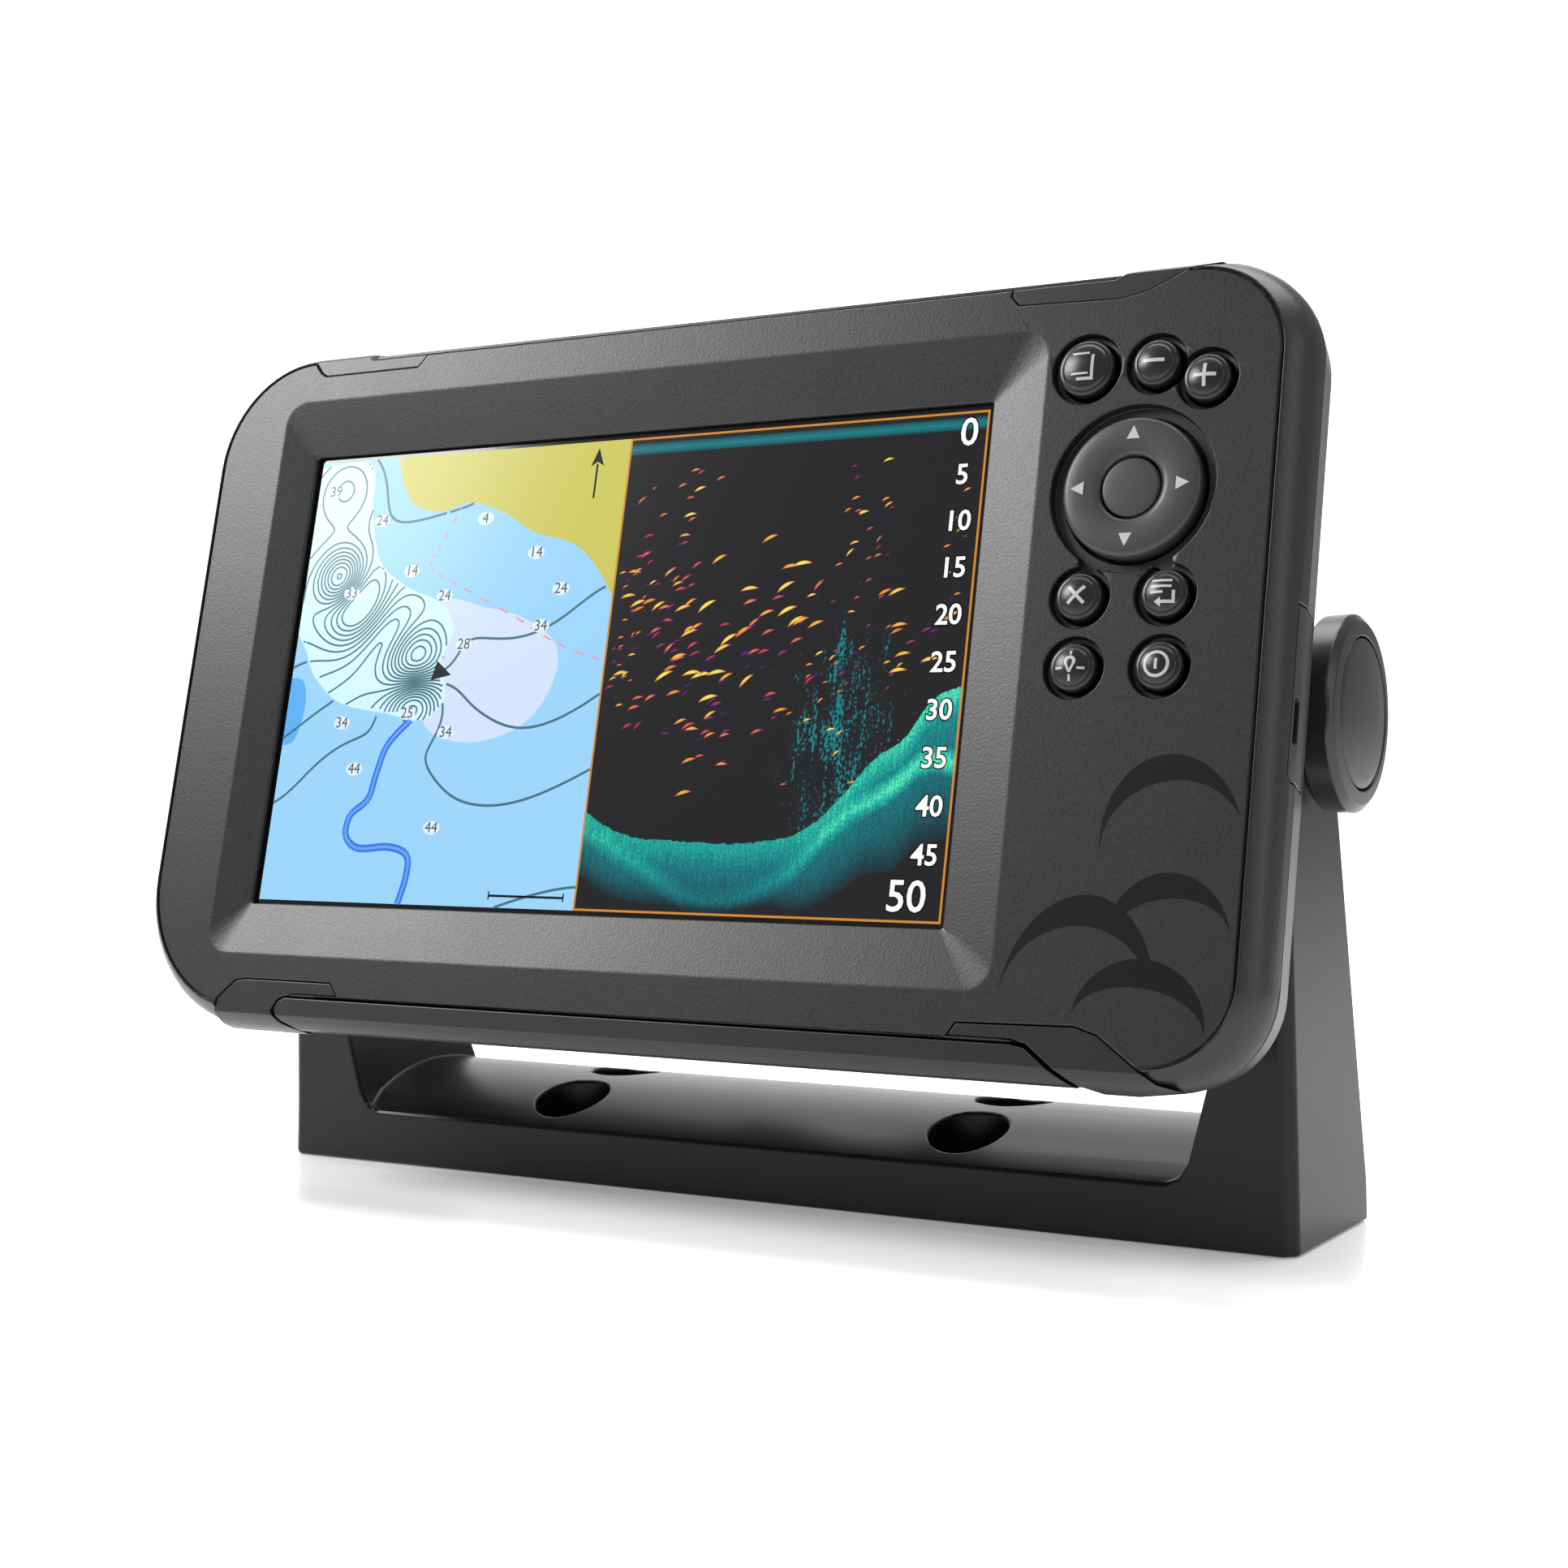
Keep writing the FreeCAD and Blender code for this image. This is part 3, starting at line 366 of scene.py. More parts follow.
def moulded(name, tone, rough, grain, pebble=2100.0, speck=0.25, drift=0.05, shine=0.5):
    """Moulded plastic: tone 0 to 255, roughness, depth of the grain in mm, pebbles per metre."""
    finish = Finish(name)
    place = finish.node("ShaderNodeTexCoord", out="Object")
    grit = finish.noise(place, pebble, 2.0)
    cloud = finish.noise(place, CLOUDS, 3.0)
    colour = finish.blend(grit, grey(tone * (1 - speck)), grey(tone * (1 + speck)))
    bump = finish.node("ShaderNodeBump", {}, {"Strength": 0.6, "Distance": grain * MM, "Height": grit})
    gloss = rough + (cloud - 0.5) * drift + (grit - 0.5) * 0.1
    return finish.wear(Base_Color=colour, Roughness=gloss, Normal=bump, IOR=1.47, Specular_IOR_Level=shine)


FINISH = {
    "housing_plastic": moulded("housing_plastic", 31, 0.36, 0.045, speck=0.35),
    "bracket_plastic": moulded("bracket_plastic", 22, 0.33, 0.02, shine=0.3),
    "trim_plastic": moulded("trim_plastic", 30, 0.34, 0.012, speck=0.12),
    "knob_plastic": moulded("knob_plastic", 36, 0.32, 0.015, speck=0.12),
    "key_plastic": moulded("key_plastic", 26, 0.3, 0.012, speck=0.15),
    "seal_rubber": moulded("seal_rubber", 22, 0.7, 0.02),
    "black_plastic": moulded("black_plastic", 26, 0.4, 0.02),
    "white_plastic": moulded("white_plastic", 225, 0.4, 0.01, speck=0.03),
    "lcd_dark": moulded("lcd_dark", 18, 0.15, 0.002),
    "ceramic_white": moulded("ceramic_white", 205, 0.55, 0.02, speck=0.06),
    "cable_film": moulded("cable_film", 120, 0.35, 0.01, speck=0.1),
}
print(len(FINISH), "plastics")

# %% [markdown]
# ## Metals and the circuit board
# Turned metal shows fine rings and a drift in its gloss. The grain here is a stretched noise: a Mapping
# node squeezes it along one axis, which looks brushed. The board is green solder mask with faint
# copper tracks showing through, where the distance to the edge of a Voronoi cell is small.

# %% Metal and board finishes
def metal(name, colour, rough):
    finish = Finish(name)
    place = finish.node("ShaderNodeTexCoord", out="Object")
    squeezed = finish.node("ShaderNodeMapping", {}, {"Vector": place, "Scale": (4000.0, 4000.0, 300.0)})
    brush = finish.noise(squeezed, 1.0, 2.0)
    bump = finish.node("ShaderNodeBump", {}, {"Strength": 0.25, "Distance": 0.01 * MM, "Height": brush})
    return finish.wear(Base_Color=colour, Metallic=1.0, Roughness=rough + (brush - 0.5) * 0.15, Normal=bump)


def board():
    finish = Finish("board_green")
    place = finish.node("ShaderNodeTexCoord", out="Object")
    edge = finish.node("ShaderNodeTexVoronoi", {"feature": "DISTANCE_TO_EDGE"},
                       {"Vector": place, "Scale": 260.0}, "Distance")
    track = 1 - edge.over(0.06)
    return finish.wear(Base_Color=finish.blend(track, tint(16, 74, 44), tint(44, 112, 62)), Roughness=0.35)


for name, colour, rough in (("steel", (196, 197, 200), 0.28), ("aluminium", (205, 207, 210), 0.4),
                            ("reader_metal", (188, 190, 192), 0.32), ("brass", (212, 176, 96), 0.25)):
    FINISH[name] = metal(name, tint(*colour), rough)
FINISH["board_green"] = board()
screen_black = moulded("screen_glass", 10, 0.08, 0.0005, speck=0.05, drift=0.01)
FINISH["screen_glass"] = screen_black
for node, piece in nodes.items():
    piece.data.materials.clear()
    piece.data.materials.append(FINISH[slot_of[node]])
print("finished", len(nodes), "parts")

# %% [markdown]
# ## The mouldings
# Bracket, bezel, rear case, corner clips and trims keep their designed shapes, with rounded edges. The
# sloping surround of the screen meets the face at only ten degrees or so, too little to count as sharp,
# yet it reads as a crisp line on the real face, so that zone is bevelled at a much smaller angle.

# %% Soften the mouldings
CLIPS = ["clip_top_left", "clip_top_right", "clip_bottom_left", "clip_bottom_right"]
SOFT = {"bracket": 0.7, "rear_case": 0.45, "card_door": 0.2, "power_socket": 0.3, "sonar_socket": 0.3,
        "vent_plug": 0.2, **dict.fromkeys(CLIPS, 0.28), "top_trim": 0.22, "bottom_trim": 0.35}
WIDE = 0.5  # a rounding wider than this takes a step more, in millimetres
SURROUND = ((-100.5, 74.5), (-58.0, 59.5), (0.9, 3.05))


def in_surround(corner):
    return all(low < corner[axis] < high for axis, (low, high) in enumerate(SURROUND))


print(len(SOFT), "mouldings to soften")

# %% [markdown]
# ## Clips that follow the wall
# The corner clips and the bottom trim wrap over the bezel's outer edge, where the wall draws in towards the
# face in a long curve. As designed they end in one flat side. A boolean with a swept wall would shape them,
# and so would a lattice, but a few flat cuts along the wall's profile keep the mesh plain: each cut slices
# off what stands outside it and the hole is filled with one face.

# %% Trim the clips to the wall
# how far the bezel's wall has drawn in at each height above the screen, in millimetres
WALL = [(-3.4, 0.15), (-0.8, 0.9), (1.2, 2.2), (2.6, 3.6)]
TOP_SHARE, LOW_SHARE = 0.6, 0.7   # the wall draws in less along the top and the foot
PROUD_TOP, PROUD_LOW = 0.1, 0.9   # how far the clips stand out from the wall
HEAD_LOW, HEAD_TOP = head_box("front_bezel")[0].y, head_box("front_bezel")[1].y


def trim_to_wall(work):
    """Slices the outer side of a clip along the bezel's curved wall, one flat cut for each step."""
    for step in zip(WALL, WALL[1:]):
        top = [Vector((0, HEAD_TOP - inset * TOP_SHARE + PROUD_TOP, height)) for height, inset in step]
        foot = [Vector((0, HEAD_LOW + inset * LOW_SHARE - PROUD_LOW, height)) for height, inset in step]
        for side, (near, far) in ((1, top), (-1, foot)):
            run = far - near
            outward = Vector((0, run.z, -run.y)) * side
            made = bmesh.ops.bisect_plane(work, geom=[*work.verts, *work.edges, *work.faces],
                                          plane_co=HEAD @ near, plane_no=HEAD.to_3x3() @ outward,
                                          clear_outer=True)
            cut = [item for item in made["geom_cut"] if isinstance(item, bmesh.types.BMEdge)]
            bmesh.ops.holes_fill(work, edges=cut)
    bmesh.ops.remove_doubles(work, verts=work.verts, dist=MERGE)
    bmesh.ops.recalc_face_normals(work, faces=work.faces)


for node, width in SOFT.items():
    bend = trim_to_wall if node in CLIPS or node == "bottom_trim" else None
    skin = soft_copy(node, width, 3 if width > WIDE else 2, bend=bend)
    dress(skin, FINISH[slot_of[node]], slot_of[node], body_of[node], node)
print("wall profile of", len(WALL), "places")

# %% [markdown]
# ## A crease that fades
# A fine crease divides the face from the outer wall. The design cuts it all the way round, but on the real
# bezel it is deep only along the right side and dies away towards the corners. The floor of the groove is
# lifted there, by a share that grows smoothly from one place to another, so no new edge appears.

# %% Fade the crease
GROOVE_FLOOR = 2.3    # height of the crease's floor in the designed bezel, in millimetres
GROOVE_RAISED = 2.85  # where the floor ends up once the crease has faded out
FLOOR_SLACK = 0.04    # a corner this close to the floor's height lies on it
RIM_X, RIM_Y, RIM_CORNER = 111, 63.5, 166  # the crease runs outside these; RIM_CORNER bounds x + y


def between(value, none, whole):
    """0 where the value is at the first place, 1 at the second, and never past either."""
    return min(max((value - none) / (whole - none), 0.0), 1.0)


def fade_crease(work):
    """Lifts the crease's floor everywhere but along the right side, so it runs out at the corners."""
    for corner in work.verts:
        place = TO_HEAD @ corner.co
        far, high = abs(place.x), abs(place.y)
        on_floor = abs(place.z - GROOVE_FLOOR) <= FLOOR_SLACK
        if not on_floor or (far < RIM_X and high < RIM_Y and far + high < RIM_CORNER):
            continue  # not on the floor, or on the screen surround, which passes the same height
        share = max(between(place.x, 106.0, 98.0), between(place.y, 46.0, 60.0),
                    between(place.y, -52.0, -66.0))
        place.z += (GROOVE_RAISED - GROOVE_FLOOR) * share
        corner.co = HEAD @ place


bezel = soft_copy("front_bezel", 0.3, 2, join=False, shallow=in_surround, bend=fade_crease)
dress(bezel, FINISH["housing_plastic"], "housing_plastic", "head", "front_bezel")
print("bezel has", len(bezel.data.polygons), "faces")

# %% [markdown]
# ## Keys
# A key is a small dome of silicone-topped plastic with a printed mark. The dome is a lathe shape: a
# profile of radius and height, spun about the key's axis. `dome_height` is the curve of the top, a
# shallow paraboloid, so the printed marks can lie on it exactly. Writing the profile as a rule keeps the
# top smooth at any size, where a modelled one would show its facets.

# %% Turn a profile
AROUND = 72


def turned(name, profile, x, y, around=AROUND, place=None):
    """A solid of revolution from (radius, height) points; a radius of 0 closes an end."""
    corners, faces, rings = [], [], []
    for radius, height in profile:
        count = 1 if radius == 0 else around
        rings.append(range(len(corners), len(corners) + count))
        for step in range(count):
            turn = 2 * math.pi * step / around
            corners.append((x + radius * math.cos(turn), y + radius * math.sin(turn), height))
    for low, high in zip(rings, rings[1:]):
        for step in range(around):
            ahead = (step + 1) % around
            ring = [low[step % len(low)], low[ahead % len(low)],
                    high[ahead % len(high)], high[step % len(high)]]
            faces.append(list(dict.fromkeys(ring)))
    piece = face_outwards(add_mesh(name, corners, faces, place))
    piece.data.shade_smooth()
    return piece


def rounded(corner, radius, height, steps=6):
    """Profile points of a quarter round between a side wall and a top."""
    turns = [math.pi / 2 * step / steps for step in range(steps + 1)]
    return [(radius - corner + corner * math.cos(turn), height - corner + corner * math.sin(turn))
            for turn in turns]


# %% Domed keys
CROWN = 0.75          # how far a key's dome rises above its shoulder
KEY_GAP, LEDGE = 0.6, 0.9  # from the key's skirt in to its wall, and from the wall in to the dome
CROWN_STEPS = 8
KEYS = ["pages_key", "zoom_out_key", "zoom_in_key", "exit_key", "menu_key", "waypoint_key", "power_key"]
DOMES = {}


def dome_height(dome, across, up):
    """How high a key's dome is at a place measured from its middle."""
    share = (across ** 2 + up ** 2) / dome["radius"] ** 2
    return dome["shoulder"] + CROWN * (1 - min(share, 1.0))


for node in KEYS:
    low, high = head_box(node)
    hat = (high.x - low.x) / 2 - KEY_GAP
    inner = hat - LEDGE
    shoulder = high.z - CROWN - 0.05
    DOMES[node] = {"x": middle(node).x, "y": middle(node).y, "radius": inner, "shoulder": shoulder}
    radii = [inner * (1 - step / CROWN_STEPS) for step in range(CROWN_STEPS + 1)]
    crown = [(radius, dome_height(DOMES[node], radius, 0)) for radius in radii]
    wall = [(0, low.z + 1), (hat, low.z + 1)] + rounded(0.8, hat, shoulder - 0.12)
    wall += [(inner + 0.02, shoulder - 0.1)]
    key = turned(node + "_dome", wall + crown, DOMES[node]["x"], DOMES[node]["y"])
    dress(key, FINISH["key_plastic"], "key_plastic", body_of[node], node)
print("key shoulders at", {node: round(dome["shoulder"], 2) for node, dome in DOMES.items()})

# %% [markdown]
# ## The cursor pad
# The pad is one satin disc that rocks four ways, with a plain round key in its middle. Its top is very
# slightly dished so that a thumb finds the centre. Both are lathe shapes as well; the ring between pad
# and key is real empty space, which goes dark by itself.

# %% Cursor pad and enter key
low, high = head_box("cursor_pad")
pad_x, pad_y = middle("cursor_pad").x, middle("cursor_pad").y
pad_radius = (high.x - low.x) / 2
enter_low, enter_high = head_box("enter_key")
enter_radius = (enter_high.x - enter_low.x) / 2
PAD_HOLE = enter_radius + 0.4
pad_top = high.z - 0.05
dish = [(PAD_HOLE + 1.2, pad_top - 0.28), (PAD_HOLE + 0.5, pad_top - 0.36)]
pad_profile = [(PAD_HOLE, low.z), (pad_radius - 0.3, low.z), (pad_radius, low.z + 0.3)]
pad_profile += rounded(1.1, pad_radius, pad_top - 0.25) + [(pad_radius - 2.6, pad_top - 0.02)] + dish
pad_profile += [(PAD_HOLE, pad_top - 0.75), (PAD_HOLE, low.z)]
pad = turned("cursor_pad_disc", pad_profile, pad_x, pad_y, around=128)
satin = moulded("satin_plastic", 56, 0.36, 0.006, speck=0.08)
dress(pad, satin, "key_plastic", body_of["cursor_pad"], "cursor_pad")
enter_top = enter_high.z - 0.1
enter_profile = [(0, enter_low.z + 1), (enter_radius, enter_low.z + 1)]
enter_profile += rounded(0.55, enter_radius, enter_top - 0.12)
enter_profile += [(enter_radius * 0.5, enter_top - 0.02), (0, enter_top)]
enter = turned("enter_key_disc", enter_profile, pad_x, pad_y)
dress(enter, satin, "key_plastic", body_of["enter_key"], "enter_key")
print("pad radius", round(pad_radius, 2), "enter radius", round(enter_radius, 2))

# %% [markdown]
# ## Printed marks
# The marks on the keys are ink a few hundredths of a millimetre thick. A flat shape would sink into the
# dome, so each outline is cut into short strips and every corner is lifted to the dome's own height plus
# the ink. The signs are the plain ones of any such keypad: pages, minus, plus, a cross, a list with a
# return arrow, a pin on crosshairs and a power sign.

# %% Marks from bars, arcs and polygons
INK = 0.06  # how far the ink stands above the key
BED = 0.25  # how far it reaches down into it


def prism(outline, height):
    """Corners and faces of a thin prism whose top follows a height function."""
    count = len(outline)
    corners = [(x, y, height(x, y) + rise) for rise in (INK, -BED) for x, y in outline]
    faces = [list(range(count)), list(range(2 * count - 1, count - 1, -1))]
    for step in range(count):
        ahead = (step + 1) % count
        faces.append([step, step + count, ahead + count, ahead])
    return corners, faces


def bar(start, end, width, pieces=5):
    """Outlines of a straight bar, cut into short strips."""
    run = Vector(end) - Vector(start)
    side = Vector((-run.y, run.x)).normalized() * width / 2
    outlines = []
    for step in range(pieces):
        near, far = Vector(start) + run * step / pieces, Vector(start) + run * (step + 1) / pieces
        outlines.append([near - side, far - side, far + side, near + side])
    return outlines


def arc(centre, radius, width, first, last, pieces=24):
    """Outlines of a ring or part of one, between two angles in degrees."""
    outlines = []
    for step in range(pieces):
        turns = [math.radians(first + (last - first) * (step + more) / pieces) for more in (0, 1)]
        spokes = [Vector((math.cos(turn), math.sin(turn))) for turn in turns]
        outlines.append([Vector(centre) + spokes[end] * (radius + side * width / 2)
                         for end, side in ((0, -1), (0, 1), (1, 1), (1, -1))])
    return outlines


def bars(width, *runs):
    """Bars of one width, each run given as the x and y of its start and end."""
    return [outline for run in runs for outline in bar(run[:2], run[2:], width)]


# %% The signs on the keys
MARKS = {
    "pages_key": bar((-2.2, 0.5), (0.9, 0.5), 4.0, 4)
    + bars(0.5, (1.6, 2.0, 1.6, -2.3), (-1.2, -2.25, 1.85, -2.25)),
    "zoom_out_key": bars(0.62, (-1.9, 0, 1.9, 0)),
    "zoom_in_key": bars(0.62, (-2.0, 0, 2.0, 0), (0, -2.0, 0, -0.31), (0, 0.31, 0, 2.0)),
    "exit_key": bars(0.6, (-1.45, -1.45, 1.45, 1.45), (-1.45, 1.45, -0.21, 0.21), (0.21, -0.21, 1.45, -1.45)),
    "menu_key": bars(0.42, (-2.0, 1.9, 1.6, 1.9), (-2.0, 0.9, 1.6, 0.9), (-2.0, -0.1, 0.2, -0.1))
    + bars(0.5, (2.0, 0.2, 2.0, -1.7), (2.25, -1.7, -0.2, -1.7))
    + [[(-1.3, -1.7), (-0.2, -2.5), (-0.2, -0.9)]],
    "waypoint_key": arc((0, 0.7), 0.75, 0.55, -30, 210)
    + bars(0.4, (-0.75, 0.45, 0, -1.1), (0.75, 0.45, 0, -1.1), (-2.6, -0.4, -1.3, -0.4),
           (1.3, -0.4, 2.6, -0.4), (0, -1.5, 0, -2.6), (0, 1.9, 0, 2.6)),
    "power_key": arc((0, 0), 2.0, 0.5, 0, 360, 36) + bars(0.5, (0, -0.9, 0, 0.9)),
}
ink = Finish("printed_grey").wear(Base_Color=grey(176), Roughness=0.4)


def print_mark(name, outlines, x, y, height, body):
    """Joins outlines into one thin printed piece centred on a place of the face."""
    corners, faces = [], []
    for outline in outlines:
        made, sides = prism(outline, height)
        faces += [[index + len(corners) for index in side] for side in sides]
        corners += [(x + across, y + up, level) for across, up, level in made]
    return dress(face_outwards(add_mesh(name, corners, faces)), ink, "white_plastic", body)


for node, outlines in MARKS.items():
    dome = DOMES[node]
    print_mark(node + "_mark", outlines, dome["x"], dome["y"],
               lambda x, y: dome_height(dome, x, y), body_of[node])
ARROW_AT = 9.4  # from the pad's middle to an arrow's
ARROW = 1.15    # half an arrow's length
arrows = []
for quarter in range(4):
    turn = math.radians(90 * quarter)
    ahead, aside = Vector((math.cos(turn), math.sin(turn))), Vector((-math.sin(turn), math.cos(turn)))
    tip, foot = ahead * (ARROW_AT + ARROW), ahead * (ARROW_AT - ARROW)
    arrows.append([tip, foot + aside * ARROW, foot - aside * ARROW])
print_mark("cursor_arrows", arrows, pad_x, pad_y, lambda x, y: pad_top - 0.06, body_of["cursor_pad"])
print(len(MARKS) + 1, "printed pieces")

# %% [markdown]
# ## Clamp knobs
# Each knob has a rim with two flats, a separate domed cap let into it, and a collar of fine ribs behind.
# The rim keeps its designed shape with softened edges. The cap is a lathe shape about the tilt axis. The
# ribs repeat round a circle, so Geometry Nodes place them: a circle of points, one small bar instanced
# on each and turned to face outwards, then made real and given the knob's finish.

# %% The knobs' frames
AXIS_Y, AXIS_Z = (joints["knob_right_turn"]["pos_m"][axis] / MM for axis in (1, 2))
print("tilt axis at", round(AXIS_Y, 2), round(AXIS_Z, 2))


def knob_frame(side):
    """Local z along the tilt axis, out of the given side, in millimetres."""
    spin = Matrix.Rotation(math.radians(90 * side), 4, "Y")
    return ROOM @ Matrix.Translation((0, AXIS_Y, AXIS_Z)) @ spin


def room_reach(node, axis):
    along = [vertex.co[axis] / MM for vertex in nodes[node].data.vertices]
    return min(along), max(along)


# %% A ring of ribs from Geometry Nodes
def node_group(name, inputs):
    """A Geometry Nodes group with its inputs, as (name, kind, value), and its output."""
    group = bpy.data.node_groups.new(name, "GeometryNodeTree")
    for label, kind, value in inputs:
        socket = group.interface.new_socket(label, in_out="INPUT", socket_type="NodeSocket" + kind)
        if value is not None:
            socket.default_value = value
    group.interface.new_socket("Geometry", in_out="OUTPUT", socket_type="NodeSocketGeometry")
    return group


def ribs_tree():
    group = node_group("ring_of_ribs", [("Ribs", "Int", 60), ("Ring radius", "Float", 0.0115),
                                        ("Rib size", "Vector", (0.0007, 0.0005, 0.0012)),
                                        ("Finish", "Material", None)])
    tree = Tree(group)
    given = tree.node("NodeGroupInput", out="all")
    ring = tree.node("GeometryNodeMeshCircle", {},
                     {"Vertices": given["Ribs"], "Radius": given["Ring radius"]})
    rib = tree.node("GeometryNodeMeshCube", {}, {"Size": given["Rib size"]}, "Mesh")
    place = tree.node("GeometryNodeInputPosition")
    facing = tree.node("FunctionNodeAlignRotationToVector", {"axis": "X"}, {"Vector": place})
    spread = tree.node("GeometryNodeInstanceOnPoints", {},
                       {"Points": ring, "Instance": rib, "Rotation": facing})
    real = tree.node("GeometryNodeRealizeInstances", {}, {"Geometry": spread})
    done = tree.node("GeometryNodeSetMaterial", {}, {"Geometry": real, "Material": given["Finish"]})
    tree.node("NodeGroupOutput", {}, {"Geometry": done})
    return group


# %% Grow a tree into a plain piece
def grow_tree(name, group, settings, base=None):
    """Runs a node group with its named inputs set and keeps the result as a plain piece."""
    piece = add_piece(name, base or bpy.data.meshes.new(name))
    modifier = piece.modifiers.new("grow", "NODES")
    modifier.node_group = group
    for item in group.interface.items_tree:
        if item.in_out == "INPUT" and item.name in settings:
            modifier[item.identifier] = settings[item.name]
    return settle_mesh(piece)


def place_mesh(piece, matrix):
    """Moves a finished mesh into place and leaves its object at the origin."""
    piece.data.transform(matrix)
    return piece


# %% The knobs
RIBS = 64
CAP_RISE = 0.95  # how far a cap's middle stands above its edge, in millimetres
CAP_STEPS = 10
RING_RADIUS, RIB_SIZE = 12.55 * MM, (0.5 * MM, 0.6 * MM, 1.3 * MM)
RIB_MIDDLE = 0.72  # from the knob's inner face to the middle of its ribs, in millimetres
rib_group = ribs_tree()
for name, side in (("left", -1), ("right", 1)):
    frame_here = knob_frame(side)
    start, end = sorted(abs(value) for value in room_reach("knob_" + name, 0))
    cap_start, cap_end = sorted(abs(value) for value in room_reach("knob_cap_" + name, 0))
    cap_low, cap_high = room_reach("knob_cap_" + name, 2)
    cap = (cap_high - cap_low) / 2
    look = (FINISH["knob_plastic"], "knob_plastic", body_of["knob_" + name])
    dress(soft_copy("knob_" + name, 0.3, 2), *look, "knob_" + name)
    top = cap_end - 0.02
    shoulder = top - CAP_RISE
    shares = [1 - step / CAP_STEPS for step in range(CAP_STEPS + 1)]
    crown = [((cap - 0.5) * share, shoulder + CAP_RISE * (1 - share ** 2)) for share in shares]
    profile = [(0, cap_start), (cap, cap_start)] + rounded(0.4, cap, shoulder - 0.05) + crown
    domed = turned("knob_%s_domed_cap" % name, profile, 0, 0, 128, frame_here)
    dress(domed, *look, "knob_cap_" + name)
    ribs = grow_tree("knob_%s_ribs" % name, rib_group,
                     {"Ribs": RIBS, "Ring radius": RING_RADIUS, "Rib size": RIB_SIZE, "Finish": look[0]})
    along = Matrix.Translation((0, 0, (start + RIB_MIDDLE) * MM))
    dress(place_mesh(ribs, frame_here @ Matrix.Scale(1 / MM, 4) @ along), *look)
print("cap radius", round(cap, 2), "ribs", RIBS)

# %% [markdown]
# ## The screen
# The display shows a split picture: a chart on the left and a sonar echo view on the right. It could be
# one image texture, but a picture made of geometry and shader maths stays sharp at any distance and can
# be changed by number. The picture lies in thin layers a few hundredths of a millimetre apart on the
# black glass, each glowing with its own colour. Places on it are given as shares of its width and height.

# %% Lay out the screen
glass = soft_copy("screen_lens", 0.15, 2)
dress(glass, screen_black, "screen_glass", "head", "screen_lens")
VIEW_WIDE, VIEW_TALL = 152.4, 91.44  # the lit area, in millimetres
view_x, view_y = middle("screen_lens").x, middle("screen_lens").y
LAYER = 0.02   # from one layer of the picture to the next
SPLIT = 0.503  # where the chart ends and the sonar view begins


def on_screen(x, y, layer):
    return (view_x + (x - 0.5) * VIEW_WIDE, view_y + (y - 0.5) * VIEW_TALL, -LENS_BELOW + LAYER * layer)


def under_glass(finish, colour):
    """Lets a finish glow in a colour, under the gloss of the glass."""
    return finish.wear(Base_Color=(0.0, 0.0, 0.0, 1.0), Emission_Color=colour, Emission_Strength=1.0,
                       Roughness=0.15, Specular_IOR_Level=0.15)


def glowing(name, *colour):
    return under_glass(Finish(name), tint(*colour))


# %% Flat shapes and lines on the screen
def lay(name, outlines, layer, finish):
    """Flat shapes on the screen, joined into one piece; the finish may be a colour for it to glow in."""
    if isinstance(finish, tuple):
        finish = glowing(name, *finish)
    corners, faces = [], []
    for outline in outlines:
        first = len(corners)
        corners += [on_screen(x, y, layer) for x, y in outline]
        area = sum(a[0] * b[1] - b[0] * a[1] for a, b in zip(outline, outline[1:] + outline[:1]))
        order = range(first, len(corners))
        faces.append(list(order) if area > 0 else list(reversed(order)))
    return dress(add_mesh(name, corners, faces), finish, "screen_glass", "head")


def smooth_run(points, steps=8, closed=False):
    """A smooth line through a few points, by the Catmull-Rom rule."""
    ring = [Vector(point) for point in points]
    count = len(ring) if closed else len(ring) - 1
    line = []
    for index in range(count):
        if closed:
            before, here, there, after = (ring[(index + more) % len(ring)] for more in (-1, 0, 1, 2))
        else:
            before, here, there, after = (ring[min(max(index + more, 0), count)] for more in (-1, 0, 1, 2))
        for step in range(steps):
            t = step / steps
            place = 0.5 * (2 * here + (there - before) * t
                           + (2 * before - 5 * here + 4 * there - after) * t ** 2
                           + (3 * here - before - 3 * there + after) * t ** 3)
            line.append(tuple(place))
    return line if closed else line + [tuple(ring[-1])]


ASPECT = VIEW_WIDE / VIEW_TALL


def ribbon(line, width):
    """Four-sided outlines that follow a line; the width is a share of the screen's height."""
    outlines = []
    for near, far in zip(line, line[1:]):
        run = Vector(((far[0] - near[0]) * ASPECT, far[1] - near[1]))
        if run.length < 1e-6:
            continue
        side = Vector((-run.y / ASPECT, run.x)) / run.length * width / 2
        ends = [Vector(near) - side, Vector(far) - side, Vector(far) + side, Vector(near) + side]
        outlines.append([tuple(end) for end in ends])
    return outlines


def panel(left, right, low, high):
    return [(left, low), (right, low), (right, high), (left, high)]


print("screen centre", round(view_x, 2), round(view_y, 2))

# %% [markdown]
# ## The chart
# Water, land and two surveyed patches are flat shapes with smooth outlines through a few points. The
# depth lines are worked out, not drawn: a depth field is a slope plus a few round hills and holes, and
# marching squares walks a grid and puts a short line wherever the field crosses a level. Inside the
# surveyed patches the levels lie close together, which gives the dense fans of lines of a real survey.

